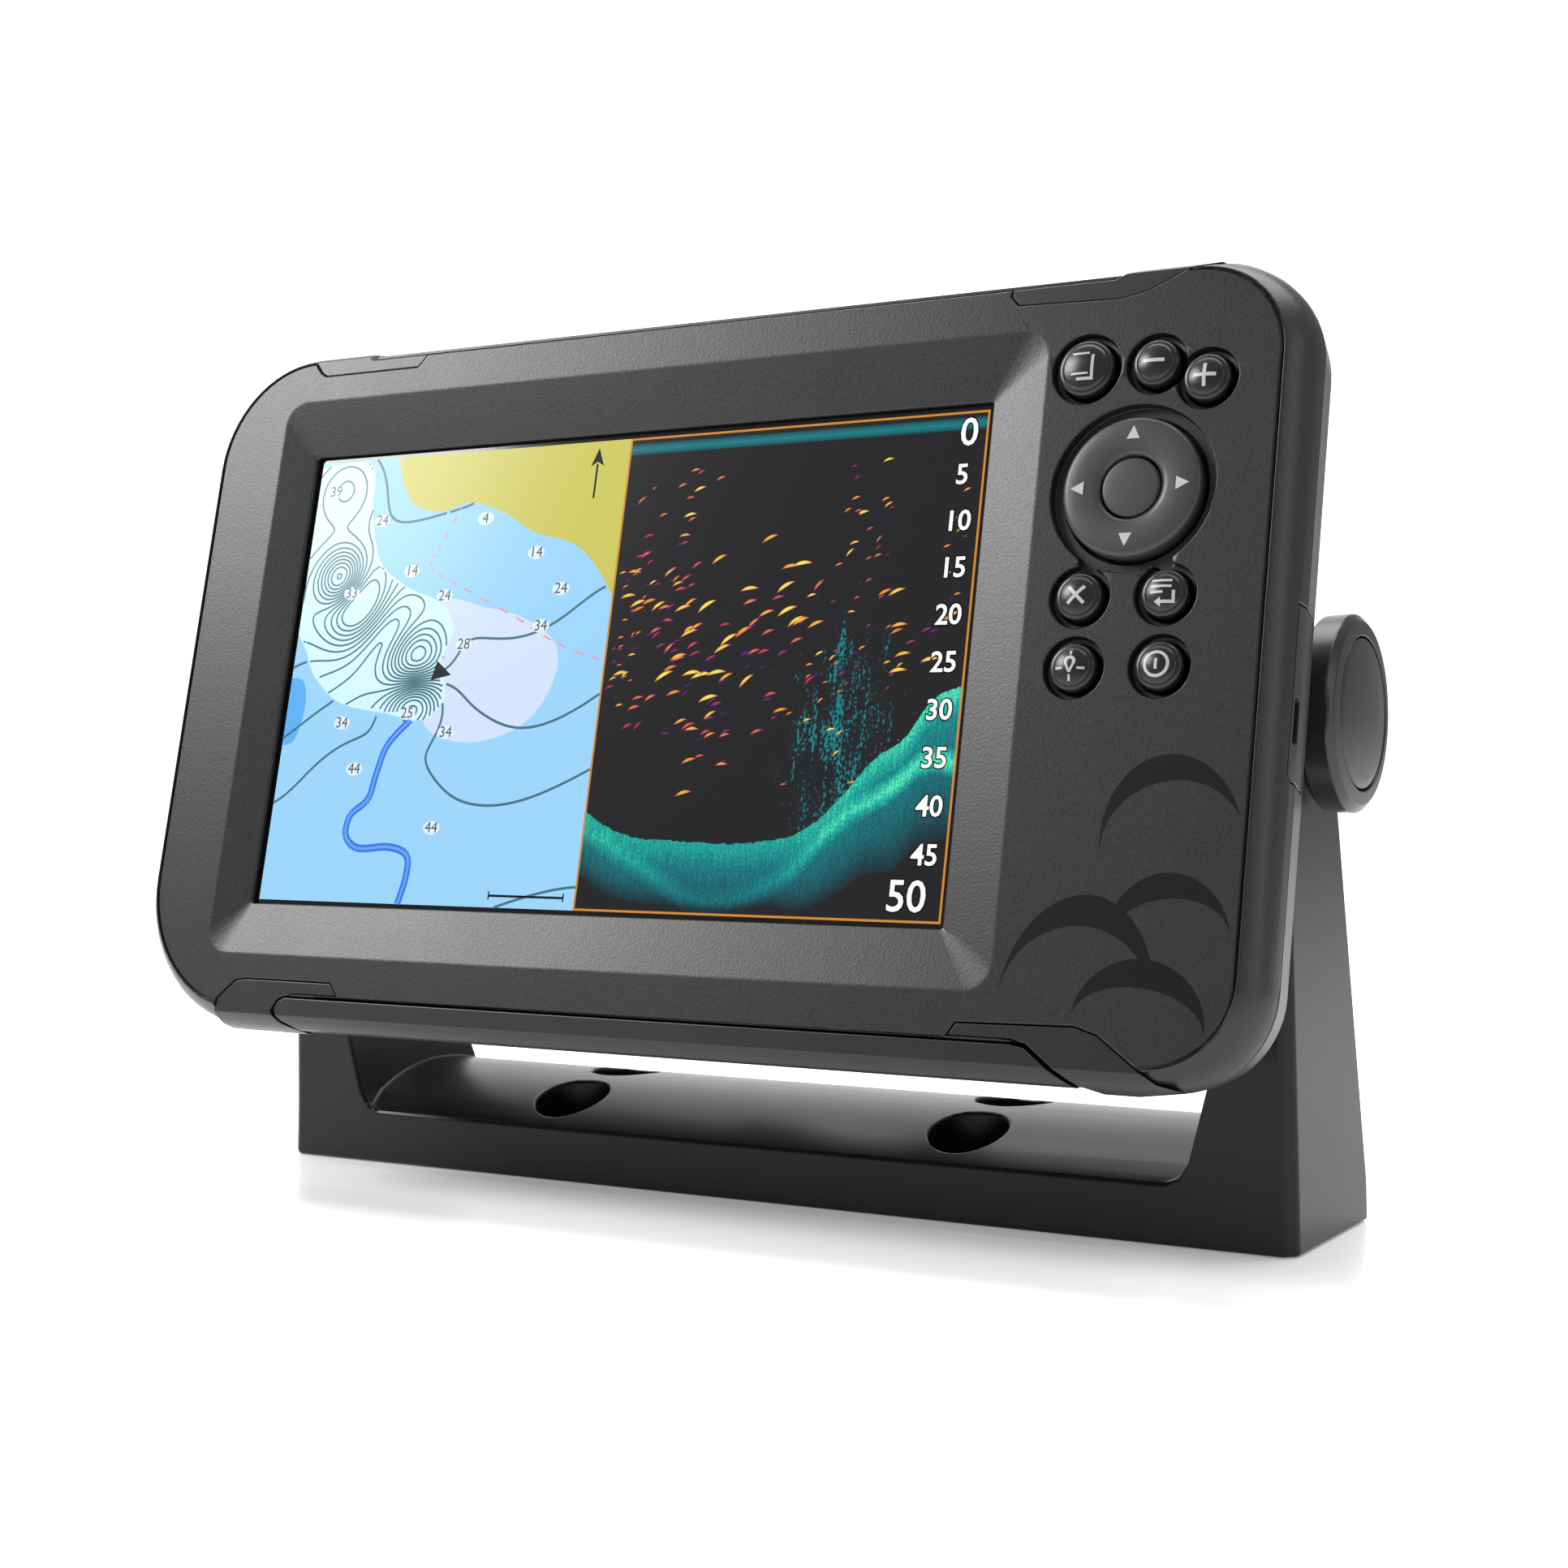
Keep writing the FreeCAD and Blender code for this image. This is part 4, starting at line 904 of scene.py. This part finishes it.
# %% Water, land and patches
land = [(SPLIT, 1.0), (0.133, 1.0)]
land += smooth_run([(0.133, 0.985), (0.146, 0.935), (0.168, 0.888), (0.214, 0.868), (0.262, 0.884),
                    (0.318, 0.856), (0.37, 0.808), (0.43, 0.78), (0.468, 0.735), (SPLIT, 0.66)])
survey = smooth_run([(0.0, 0.99), (0.085, 0.99), (0.1, 0.87), (0.125, 0.76), (0.175, 0.7), (0.235, 0.66),
                     (0.262, 0.6), (0.25, 0.53), (0.262, 0.45), (0.23, 0.4), (0.17, 0.415),
                     (0.09, 0.44), (0.04, 0.5), (0.018, 0.56), (0.0, 0.6)])
shelf = smooth_run([(0.236, 0.66), (0.31, 0.645), (0.37, 0.62), (0.424, 0.565), (0.432, 0.49), (0.404, 0.405),
                    (0.352, 0.36), (0.29, 0.352), (0.235, 0.39), (0.22, 0.5)], closed=True)
deep = smooth_run([(0.0, 0.5), (0.022, 0.49), (0.03, 0.43), (0.02, 0.36), (0.0, 0.345)])
for name, outline, layer, colour in (("water", panel(0.0, SPLIT, 0.0, 1.0), 1, (158, 214, 252)),
                                     ("land", land, 3, (206, 201, 96)), ("shelf", shelf, 2, (212, 228, 255)),
                                     ("survey", survey, 3, (214, 248, 255)),
                                     ("deep", deep, 2, (96, 178, 246))):
    lay("chart_" + name, [outline], layer, colour)
print("land outline of", len(land), "places, survey of", len(survey))


# %% Depth lines by marching squares
def depth(x, y):
    """An invented sea bed: a slope, with hills and holes of a given place, size and height."""
    total = 30 * (1 - y) + 9 * x + 2.2 * math.sin(11 * x + 3) * math.cos(7 * y)
    for px, py, wide, tall in ((0.062, 0.725, 0.036, 22), (0.098, 0.66, 0.05, -19), (0.205, 0.53, 0.045, -21),
                               (0.212, 0.44, 0.04, 20), (0.05, 0.95, 0.06, 9), (0.15, 0.6, 0.05, 10),
                               (0.33, 0.75, 0.08, -5), (0.14, 0.2, 0.08, 7), (0.38, 0.2, 0.12, -3)):
        total += tall * math.exp(-(((x - px) * ASPECT) ** 2 + (y - py) ** 2) / (2 * (wide * 1.25) ** 2))
    return total


def inside(shape, x, y):
    """Whether a place lies in an outline, by counting the sides that a ray crosses."""
    hit = False
    for (ax, ay), (bx, by) in zip(shape, shape[1:] + shape[:1]):
        if (ay > y) != (by > y) and x < ax + (bx - ax) * (y - ay) / (by - ay):
            hit = not hit
    return hit


# %% Walk the grid
SQUARE = ((0, 0), (1, 0), (1, 1), (0, 1))
GRID_ACROSS, GRID_UP = round(SPLIT * ASPECT * 110), 110
FIELD, GROUND = {}, {}
for i in range(GRID_ACROSS + 1):
    for j in range(GRID_UP + 1):
        x, y = i * SPLIT / GRID_ACROSS, j / GRID_UP
        FIELD[i, j] = depth(x, y)
        GROUND[i, j] = "survey" if inside(survey, x, y) else "land" if inside(land, x, y) else "water"


def level_lines(level, ground):
    """Short lines where the depth crosses a level, in the cells on one kind of ground."""
    lines = []
    for i, j in FIELD:
        if GROUND[i, j] != ground or GROUND.get((i + 1, j + 1)) != ground:
            continue
        cell = [((i + a) * SPLIT / GRID_ACROSS, (j + b) / GRID_UP) for a, b in SQUARE]
        levels = [FIELD[i + a, j + b] - level for a, b in SQUARE]
        cuts = []
        for side in range(4):
            near, far = levels[side], levels[(side + 1) % 4]
            if (near > 0) != (far > 0):
                share = near / (near - far)
                ends = zip(cell[side], cell[(side + 1) % 4])
                cuts.append(tuple(start + (end - start) * share for start, end in ends))
        if len(cuts) == 2:
            lines.append(cuts)
    return lines


def contours(ground, levels, width):
    lines = [line for level in levels for line in level_lines(level, ground)]
    return [strip for line in lines for strip in ribbon(line, width)]


fine = contours("survey", range(2, 60, 2), 0.0042)
coarse = contours("water", (4, 14, 19, 24, 34, 40), 0.0056)
contour_ink = glowing("chart_line", 74, 116, 130)
lay("chart_fine_lines", fine, 4, contour_ink)
lay("chart_lines", coarse, 4, contour_ink)
print(len(fine), "fine strips", len(coarse), "coarse strips")

# %% [markdown]
# ## River, boat and scale
# The river is a broad line with a lighter one inside it. The boat is a black arrowhead at the middle of
# the chart, a second one points north, and a plain bar gives the scale.

# %% Chart signs
river = smooth_run([(0.212, 0.4), (0.18, 0.345), (0.168, 0.28), (0.16, 0.225), (0.135, 0.19), (0.132, 0.145),
                    (0.155, 0.118), (0.205, 0.122), (0.236, 0.105), (0.24, 0.06), (0.232, 0.0)])
lay("chart_river", ribbon(river, 0.017), 5, (58, 120, 232))
lay("chart_river_middle", ribbon(river, 0.006), 6, (104, 166, 248))
track = smooth_run([(0.25, 0.88), (0.222, 0.79), (0.212, 0.74), (0.27, 0.69), (0.36, 0.62), (0.43, 0.56),
                    (SPLIT, 0.52)], 6)
lay("chart_track", ribbon(track, 0.004)[::2], 4, (232, 160, 178))
dark_sign = glowing("chart_sign", 22, 26, 30)
lay("chart_boat", [[(0.236, 0.487), (0.268, 0.498), (0.243, 0.53)]], 6, dark_sign)
north = [[(0.446, 0.945), (0.456, 0.985), (0.466, 0.945), (0.456, 0.955)], panel(0.4545, 0.4575, 0.875, 0.95)]
lay("chart_north", north, 6, dark_sign)
scale_bar = [panel(0.373, 0.488, 0.022, 0.027), panel(0.373, 0.375, 0.016, 0.034),
             panel(0.486, 0.488, 0.016, 0.034)]
lay("chart_scale", scale_bar, 6, dark_sign)


# %% Numbers on the screen
def number_mesh(text, size, bold=0.0):
    """A plain number as flat faces, centred, in screen millimetres."""
    curve = bpy.data.curves.new("number", "FONT")
    curve.body = text
    curve.size = size
    curve.align_x = "CENTER"
    curve.align_y = "CENTER"
    curve.resolution_u = 3
    curve.offset = bold
    holder = add_piece("number", curve)
    bpy.context.view_layer.update()
    made = bpy.data.meshes.new_from_object(holder.evaluated_get(bpy.context.evaluated_depsgraph_get()))
    bpy.data.objects.remove(holder)
    return made


def write_numbers(name, entries, layer, finish, bold=0.0):
    """Numbers at their places: (text, x, y, size) with x and y as shares of the screen."""
    work = bmesh.new()
    for text, x, y, size in entries:
        made = number_mesh(text, size, bold)
        made.transform(Matrix.Translation(on_screen(x, y, layer)))
        work.from_mesh(made)
        bpy.data.meshes.remove(made)
    mesh = bpy.data.meshes.new(name)
    work.to_mesh(mesh)
    work.free()
    mesh.transform(HEAD)
    return dress(add_piece(name, mesh), finish, "screen_glass", "head")


# %% Depths on the chart
SPOTS = [("39", 0.03, 0.93), ("24", 0.118, 0.855), ("14", 0.18, 0.735), ("33", 0.083, 0.69),
         ("4", 0.29, 0.845), ("14", 0.378, 0.762), ("24", 0.24, 0.675), ("24", 0.424, 0.68),
         ("28", 0.282, 0.565), ("34", 0.4, 0.6), ("25", 0.205, 0.415), ("34", 0.272, 0.372),
         ("34", 0.098, 0.395), ("44", 0.13, 0.292), ("44", 0.27, 0.165)]
CLOCK = [k * math.pi / 6 for k in range(12)]
halos = [[(x + 0.0135 * math.cos(turn), y + 0.015 * math.sin(turn)) for turn in CLOCK]
         for text, x, y in SPOTS]
lay("chart_halos", halos, 6, glowing("chart_halo", 226, 242, 250))
depths = [(text, x, y, 3.1) for text, x, y in SPOTS]
write_numbers("chart_depths", depths, 7, glowing("chart_digits", 70, 76, 84))
print(len(SPOTS), "depths on the chart")

# %% [markdown]
# ## The sonar view
# Echo strength is drawn by a shader. The sea bed's height along the view is a Float Curve, and what is
# `below` that line is a distance, so a ramp can go from a bright edge to dark. Noise stretched
# upwards breaks it into returns. The weed standing on the slope is a noise cut off at a level that rises
# away from its middle. A brighter band at the top is the surface.

# %% The sonar background
def sonar_finish():
    finish = Finish("sonar_view")
    place = finish.node("ShaderNodeUVMap", {"uv_map": "view"})
    parts = finish.node("ShaderNodeSeparateXYZ", {}, {"Vector": place}, "all")
    x, y = parts["X"], parts["Y"]

    def noise(across, up, detail=3.0):
        squeezed = finish.node("ShaderNodeMapping", {}, {"Vector": place, "Scale": (across, up, 1.0)})
        return finish.noise(squeezed, 1.0, detail, {"noise_dimensions": "2D"})

    def height_line(*points):
        return finish.node("ShaderNodeFloatCurve", {"curve": points}, {"Value": x})

    bed = height_line((0.0, 0.205), (0.12, 0.158), (0.25, 0.148), (0.5, 0.148), (0.62, 0.172), (0.72, 0.245),
                      (0.79, 0.312), (0.86, 0.352), (0.93, 0.43), (1.0, 0.452))
    ridge = height_line((0.0, 0.17), (0.2, 0.085), (0.35, 0.03), (0.56, 0.07), (0.72, 0.195), (0.84, 0.255),
                        (0.93, 0.31), (1.0, 0.3))
    speck = noise(260.0, 170.0)
    streak = noise(210.0, 22.0)
    ragged = (noise(60.0, 60.0) - 0.5) * 0.009
    below = bed - y + ragged
    slope = (x * 2.6 - 1.45).at_least(0.0).at_most(1.0)
    glow = (1 - ((below - 0.01) / 0.045).size()).at_least(0.0) * (0.1 + 0.3 * slope)
    fold = (1 - ((ridge - y + ragged) / 0.03).size()).at_least(0.0) * (0.2 + 0.55 * slope)
    body = (1 - below / (0.13 + 0.16 * slope)).at_least(0.0) ** 0.6 * 0.55
    echo = (glow + fold + body) * (0.4 + 1.1 * speck) * (0.6 + 0.75 * streak)
    strength = echo.at_most(1.0) * below.over(0.0)
    weed_x = ((x - 0.69) / 0.2).size()
    weed_y = ((y - 0.36) / 0.3).size()
    weed = (1 - weed_x - weed_y ** 2.0).at_least(0.0)
    tufts = noise(150.0, 110.0, 5.0)
    stalks = noise(70.0, 8.0, 3.0)
    clumps = noise(16.0, 12.0, 2.0)
    standing = (tufts - 0.5) * 3.4 + (stalks - 0.5) * 2.4 + (clumps - 0.5) * 1.6 + weed * 1.1 - 0.95
    brush = standing.at_least(0.0) * weed.over(0.02) * (1 - below.over(0.0))
    surface = (1 - ((y - 0.975) / 0.013).size()).at_least(0.0) ** 0.5 * 0.42
    total = (strength + brush.at_most(0.45) + surface).at_most(1.0)
    colour = finish.ramp(total, (0.0, (38, 38, 40)), (0.12, (30, 62, 72)), (0.4, (27, 122, 130)),
                         (0.68, (34, 178, 160)), (1.0, (92, 238, 186)))
    return under_glass(finish, colour)


# %% Lay the sonar view
sonar_panel = lay("sonar_view", [panel(SPLIT, 1.0, 0.0, 1.0)], 1, sonar_finish())
uv = sonar_panel.data.uv_layers.new(name="view")
for loop, corner in zip(uv.data, SQUARE):
    loop.uv = corner
FRAME = 0.0045  # the frame's width, as a share of the screen's height
edges = [panel(SPLIT, 1.0, 0.0, FRAME), panel(SPLIT, 1.0, 1 - FRAME, 1.0),
         panel(SPLIT, SPLIT + FRAME / ASPECT, FRAME, 1 - FRAME),
         panel(1 - FRAME / ASPECT, 1.0, FRAME, 1 - FRAME)]
lay("sonar_frame", edges, 3, (214, 140, 52))
SCALE_AT = 0.972
ruler = [(str(mark), SCALE_AT, 0.964 - mark * 0.0186, 5.2) for mark in range(5, 50, 5)]
ruler += [("0", SCALE_AT + 0.004, 0.955, 7.2), ("50", SCALE_AT - 0.018, 0.047, 7.8)]
write_numbers("sonar_ruler_shade", ruler, 6, glowing("sonar_shade", 8, 10, 12), 0.32)
write_numbers("sonar_ruler", ruler, 7, glowing("sonar_digits", 252, 252, 252), 0.09)

# %% [markdown]
# ## Fish echoes
# A fish crossing the beam leaves an arch. There are a couple of hundred, all one shape, so Geometry Nodes
# draw one: an arc whose ribbon narrows to nothing at both ends. It is instanced on a cloud of points that
# carries each arch's size, tilt and strength. `along` runs from one tip of an arch to the other and the
# finish turns strength and `along` into colour: violet at weak tips, through red, to yellow at the heart.

# %% Echo arches
def echo_tree():
    group = node_group("fish_echoes", [("Geometry", "Geometry", None), ("Arch radius", "Float", 2.0),
                                       ("Arch width", "Float", 0.34), ("Finish", "Material", None)])
    tree = Tree(group)
    given = tree.node("NodeGroupInput", out="all")
    arch = tree.node("GeometryNodeCurveArc", {"mode": "RADIUS"},
                     {"Resolution": 9, "Radius": given["Arch radius"], "Start Angle": math.radians(64),
                      "Sweep Angle": math.radians(52)})
    along = tree.node("GeometryNodeSplineParameter", out="Factor")
    marked = tree.node("GeometryNodeStoreNamedAttribute", {"data_type": "FLOAT", "domain": "POINT"},
                       {"Geometry": arch, "Name": "along", "Value": along})
    swell = tree.node("ShaderNodeMath", {"operation": "SINE"}, {0: along * math.pi})
    width = swell * given["Arch width"] + 0.02
    shaped = tree.node("GeometryNodeSetCurveRadius", {}, {"Curve": marked, "Radius": width})
    flat = tree.node("GeometryNodeCurvePrimitiveLine", {},
                     {"Start": (-0.5, 0.0, 0.0), "End": (0.5, 0.0, 0.0)})
    band = tree.node("GeometryNodeCurveToMesh", {}, {"Curve": shaped, "Profile Curve": flat, "Scale": width})
    centred = tree.node("GeometryNodeTransform", {}, {"Geometry": band, "Translation": (0.0, -3.1, 0.0)})
    size, lean, echo = (
        tree.node("GeometryNodeInputNamedAttribute", {"data_type": "FLOAT"}, {"Name": name}, "Attribute")
        for name in ("size", "lean", "echo"))
    turn = tree.node("ShaderNodeCombineXYZ", {}, {"Z": lean})
    scale = tree.node("ShaderNodeCombineXYZ", {}, {"X": size, "Y": size * 0.8 + 0.2, "Z": 1.0})
    spread = tree.node("GeometryNodeInstanceOnPoints", {},
                       {"Points": given["Geometry"], "Instance": centred, "Rotation": turn, "Scale": scale})
    carried = tree.node("GeometryNodeStoreNamedAttribute", {"data_type": "FLOAT", "domain": "INSTANCE"},
                        {"Geometry": spread, "Name": "echo", "Value": echo})
    real = tree.node("GeometryNodeRealizeInstances", {}, {"Geometry": carried})
    done = tree.node("GeometryNodeSetMaterial", {}, {"Geometry": real, "Material": given["Finish"]})
    tree.node("NodeGroupOutput", {}, {"Geometry": done})
    return group


# %% Echo colours
def echo_finish():
    finish = Finish("fish_echo")
    echo, along = (finish.node("ShaderNodeAttribute", {"attribute_name": name}, out="Fac")
                   for name in ("echo", "along"))
    heart = 1 - ((along - 0.5) * 2).size() ** 2.5
    strength = (echo * (0.3 + 0.8 * heart)).at_most(1.0)
    colour = finish.ramp(strength, (0.0, (48, 28, 84)), (0.25, (104, 38, 122)), (0.45, (190, 56, 88)),
                         (0.68, (240, 150, 60)), (1.0, (252, 226, 96)))
    return under_glass(finish, colour)


# %% Scatter the echoes
SHOALS = [  # middle x and y of a shoal, its spread in x and y, how many fish, and their usual size
    (0.57, 0.62, 0.035, 0.1, 34, 1.0), (0.605, 0.78, 0.02, 0.1, 22, 0.75), (0.65, 0.52, 0.05, 0.09, 44, 1.1),
    (0.74, 0.55, 0.04, 0.07, 26, 1.1), (0.53, 0.55, 0.016, 0.14, 34, 0.5), (0.86, 0.76, 0.022, 0.08, 26, 0.6),
    (0.93, 0.58, 0.03, 0.06, 14, 1.0), (0.985, 0.74, 0.01, 0.1, 22, 0.5), (0.66, 0.35, 0.03, 0.04, 12, 0.9),
    (0.84, 0.47, 0.05, 0.08, 40, 0.5),
]
draw = random.Random(11)
spots, size_of, lean_of, echo_of = [], [], [], []
for shoal_x, shoal_y, wide, tall, count, usual in SHOALS:
    for fish in range(count):
        x, y = draw.gauss(shoal_x, wide), draw.gauss(shoal_y, tall)
        strength = min(1.0, max(0.12, draw.betavariate(1.6, 1.3)))
        if SPLIT + 0.012 < x < 0.985 and 0.22 + 0.3 * max(x - 0.8, 0) < y < 0.93:
            spots.append(on_screen(x, y, 3))
            size_of.append(usual * (0.5 + 1.0 * strength))
            lean_of.append(math.radians(draw.gauss(22, 10)))
            echo_of.append(strength)
cloud = bpy.data.meshes.new("echo_spots")
cloud.from_pydata(spots, [], [])
for name, values in (("size", size_of), ("lean", lean_of), ("echo", echo_of)):
    cloud.attributes.new(name, "FLOAT", "POINT").data.foreach_set("value", values)
echo_material = echo_finish()
echoes = grow_tree("fish_echoes", echo_tree(),
                   {"Arch radius": 3.2, "Arch width": 0.44, "Finish": echo_material}, cloud)
place_mesh(echoes, HEAD)
outwards = sum(face.normal.dot(OUT) for face in echoes.data.polygons)
if outwards < 0:
    echoes.data.flip_normals()
dress(echoes, echo_material, "screen_glass", "head")
print(len(spots), "echoes,", len(echoes.data.polygons), "faces, facing", round(outwards, 1))

# %% [markdown]
# ## Wave pattern on the face
# The lower right of the face carries a printed pattern of overlapping dark crescents, darker and smoother
# than the moulding round them. Each is the space between two arcs that meet at their tips, laid a few
# hundredths of a millimetre above the face so that it has an edge of its own.

# %% Crescents
def crescent(x, y, wide, tall, thick, lean, start, end, steps=40):
    """Outer and inner places on two half ellipses, from one share of the arch to another."""
    turn = Matrix.Rotation(math.radians(lean), 2)
    pairs = []
    for step in range(steps + 1):
        angle = math.pi * (start + (end - start) * step / steps)
        across, up = -wide * math.cos(angle), math.sin(angle)
        places = [Vector((x, y)) + turn @ Vector((across, height * up)) for height in (tall, tall - thick)]
        pairs.append([(min(place.x, PATTERN_RIGHT), place.y) for place in places])
    return pairs


PATTERN_RIGHT = 114.0  # where the face ends on the right
CRESCENTS = [(88.5, -59.0, 13.6, 18.6, 5.2, -6, 0.0, 0.85), (103.0, -32.0, 12.2, 15.0, 4.4, 10, 0.0, 1.0),
             (103.6, -48.0, 10.6, 11.5, 4.2, 8, 0.17, 1.0), (99.6, -61.6, 11.4, 11.0, 4.6, -6, 0.0, 1.0)]
pattern_ink = moulded("pattern_ink", 12, 0.45, 0.006, speck=0.08, shine=0.2)
corners, faces = [], []
for index, shape in enumerate(CRESCENTS):
    pairs = crescent(*shape)
    for step in range(len(pairs) - 1):
        first = len(corners) + 2 * step
        faces.append([first, first + 1, first + 3, first + 2])
    corners += [(x, y, FACE + 0.03 + 0.01 * index) for pair in pairs for x, y in pair]
pattern = add_mesh("wave_pattern", corners, faces)
dress(pattern, pattern_ink, "housing_plastic", "head")
print(len(CRESCENTS), "crescents")

# %% [markdown]
# ## Floor, light and camera
# The floor is plain white paper, with a curved white sheet behind the left side, so that no horizon
# shows; on the right there is none, which keeps the dark side of the arm dark. Four soft lights do the
# work of a product studio: one high on the left gives the face its bright upper left corner, one overhead
# lights the top edges, and a weak one on the right picks out the knob and the arm. The world is a plain
# white fill.

# %% Floor and backdrop
def paper_sheet(name, line, left, right):
    """A sheet of paper that follows a line of (y, z) places, in metres."""
    corners = [(x, y, z) for x in (left, right) for y, z in line]
    count = len(line)
    faces = [[k, k + count, k + count + 1, k + 1] for k in range(count - 1)]
    sheet = add_mesh(name, corners, faces, Matrix.Identity(4))
    sheet.data.shade_smooth()
    sheet.data.materials.append(paper)


paper = Finish("white_paper").wear(Base_Color=(0.93, 0.93, 0.93, 1.0), Roughness=0.3, Specular_IOR_Level=0.3,
                                   Emission_Color=(1.0, 1.0, 1.0, 1.0), Emission_Strength=0.22)
FLOOR_BELOW = 0.0002  # the floor lies this far under the part, so their faces never fight
BACK, BEND, TALL = 1.6, 0.6, 2.6  # the backdrop's distance, the radius of its bend and its height
turns = [math.pi / 2 * step / 16 for step in range(17)]
curve = [(BACK - BEND + BEND * math.sin(turn), BEND - BEND * math.cos(turn)) for turn in turns]
paper_sheet("floor", [(-3.0, -FLOOR_BELOW), (3.0, -FLOOR_BELOW)], -3.0, 3.0)
paper_sheet("backdrop", curve + [(BACK, TALL)], -3.0, 0.06)


# %% Lights
def soft_light(name, place, aim, size, power):
    light = bpy.data.lights.new(name, "AREA")
    light.shape = "RECTANGLE"
    light.size, light.size_y = size
    light.energy = power
    lamp = add_piece(name, light)
    lamp.location = place
    lamp.rotation_euler = (Vector(aim) - Vector(place)).to_track_quat("-Z", "Y").to_euler()
    return lamp


MIDDLE = (0.0, 0.0, 0.09)
soft_light("key_light", (-1.02, -0.74, 0.9), MIDDLE, (0.55, 0.55), 17)
soft_light("backdrop_light", (-1.2, 0.2, 1.2), (-1.2, 1.6, 0.7), (1.6, 0.8), 22)
soft_light("top_light", (0.0, 0.3, 1.3), MIDDLE, (1.5, 0.9), 22)
soft_light("right_light", (1.3, -0.1, 0.5), MIDDLE, (0.4, 0.9), 2)
world = bpy.data.worlds.new("studio")
world.use_nodes = True
fill = world.node_tree.nodes["Background"]
fill.inputs["Color"].default_value = (1.0, 1.0, 1.0, 1.0)
fill.inputs["Strength"].default_value = 0.34
bpy.context.scene.world = world

# %% Camera
bpy.context.scene.view_settings.view_transform = "Standard"
camera = bpy.data.cameras.new("camera")
camera.lens = 55.24
camera.sensor_width = 36
eye = add_piece("camera", camera)
eye.location = (0.2433, -0.4191, 0.08445)
eye.rotation_euler = (math.radians(89.54), 0, math.radians(30.21))
bpy.context.scene.camera = eye
print("camera at", tuple(round(value, 4) for value in eye.location))
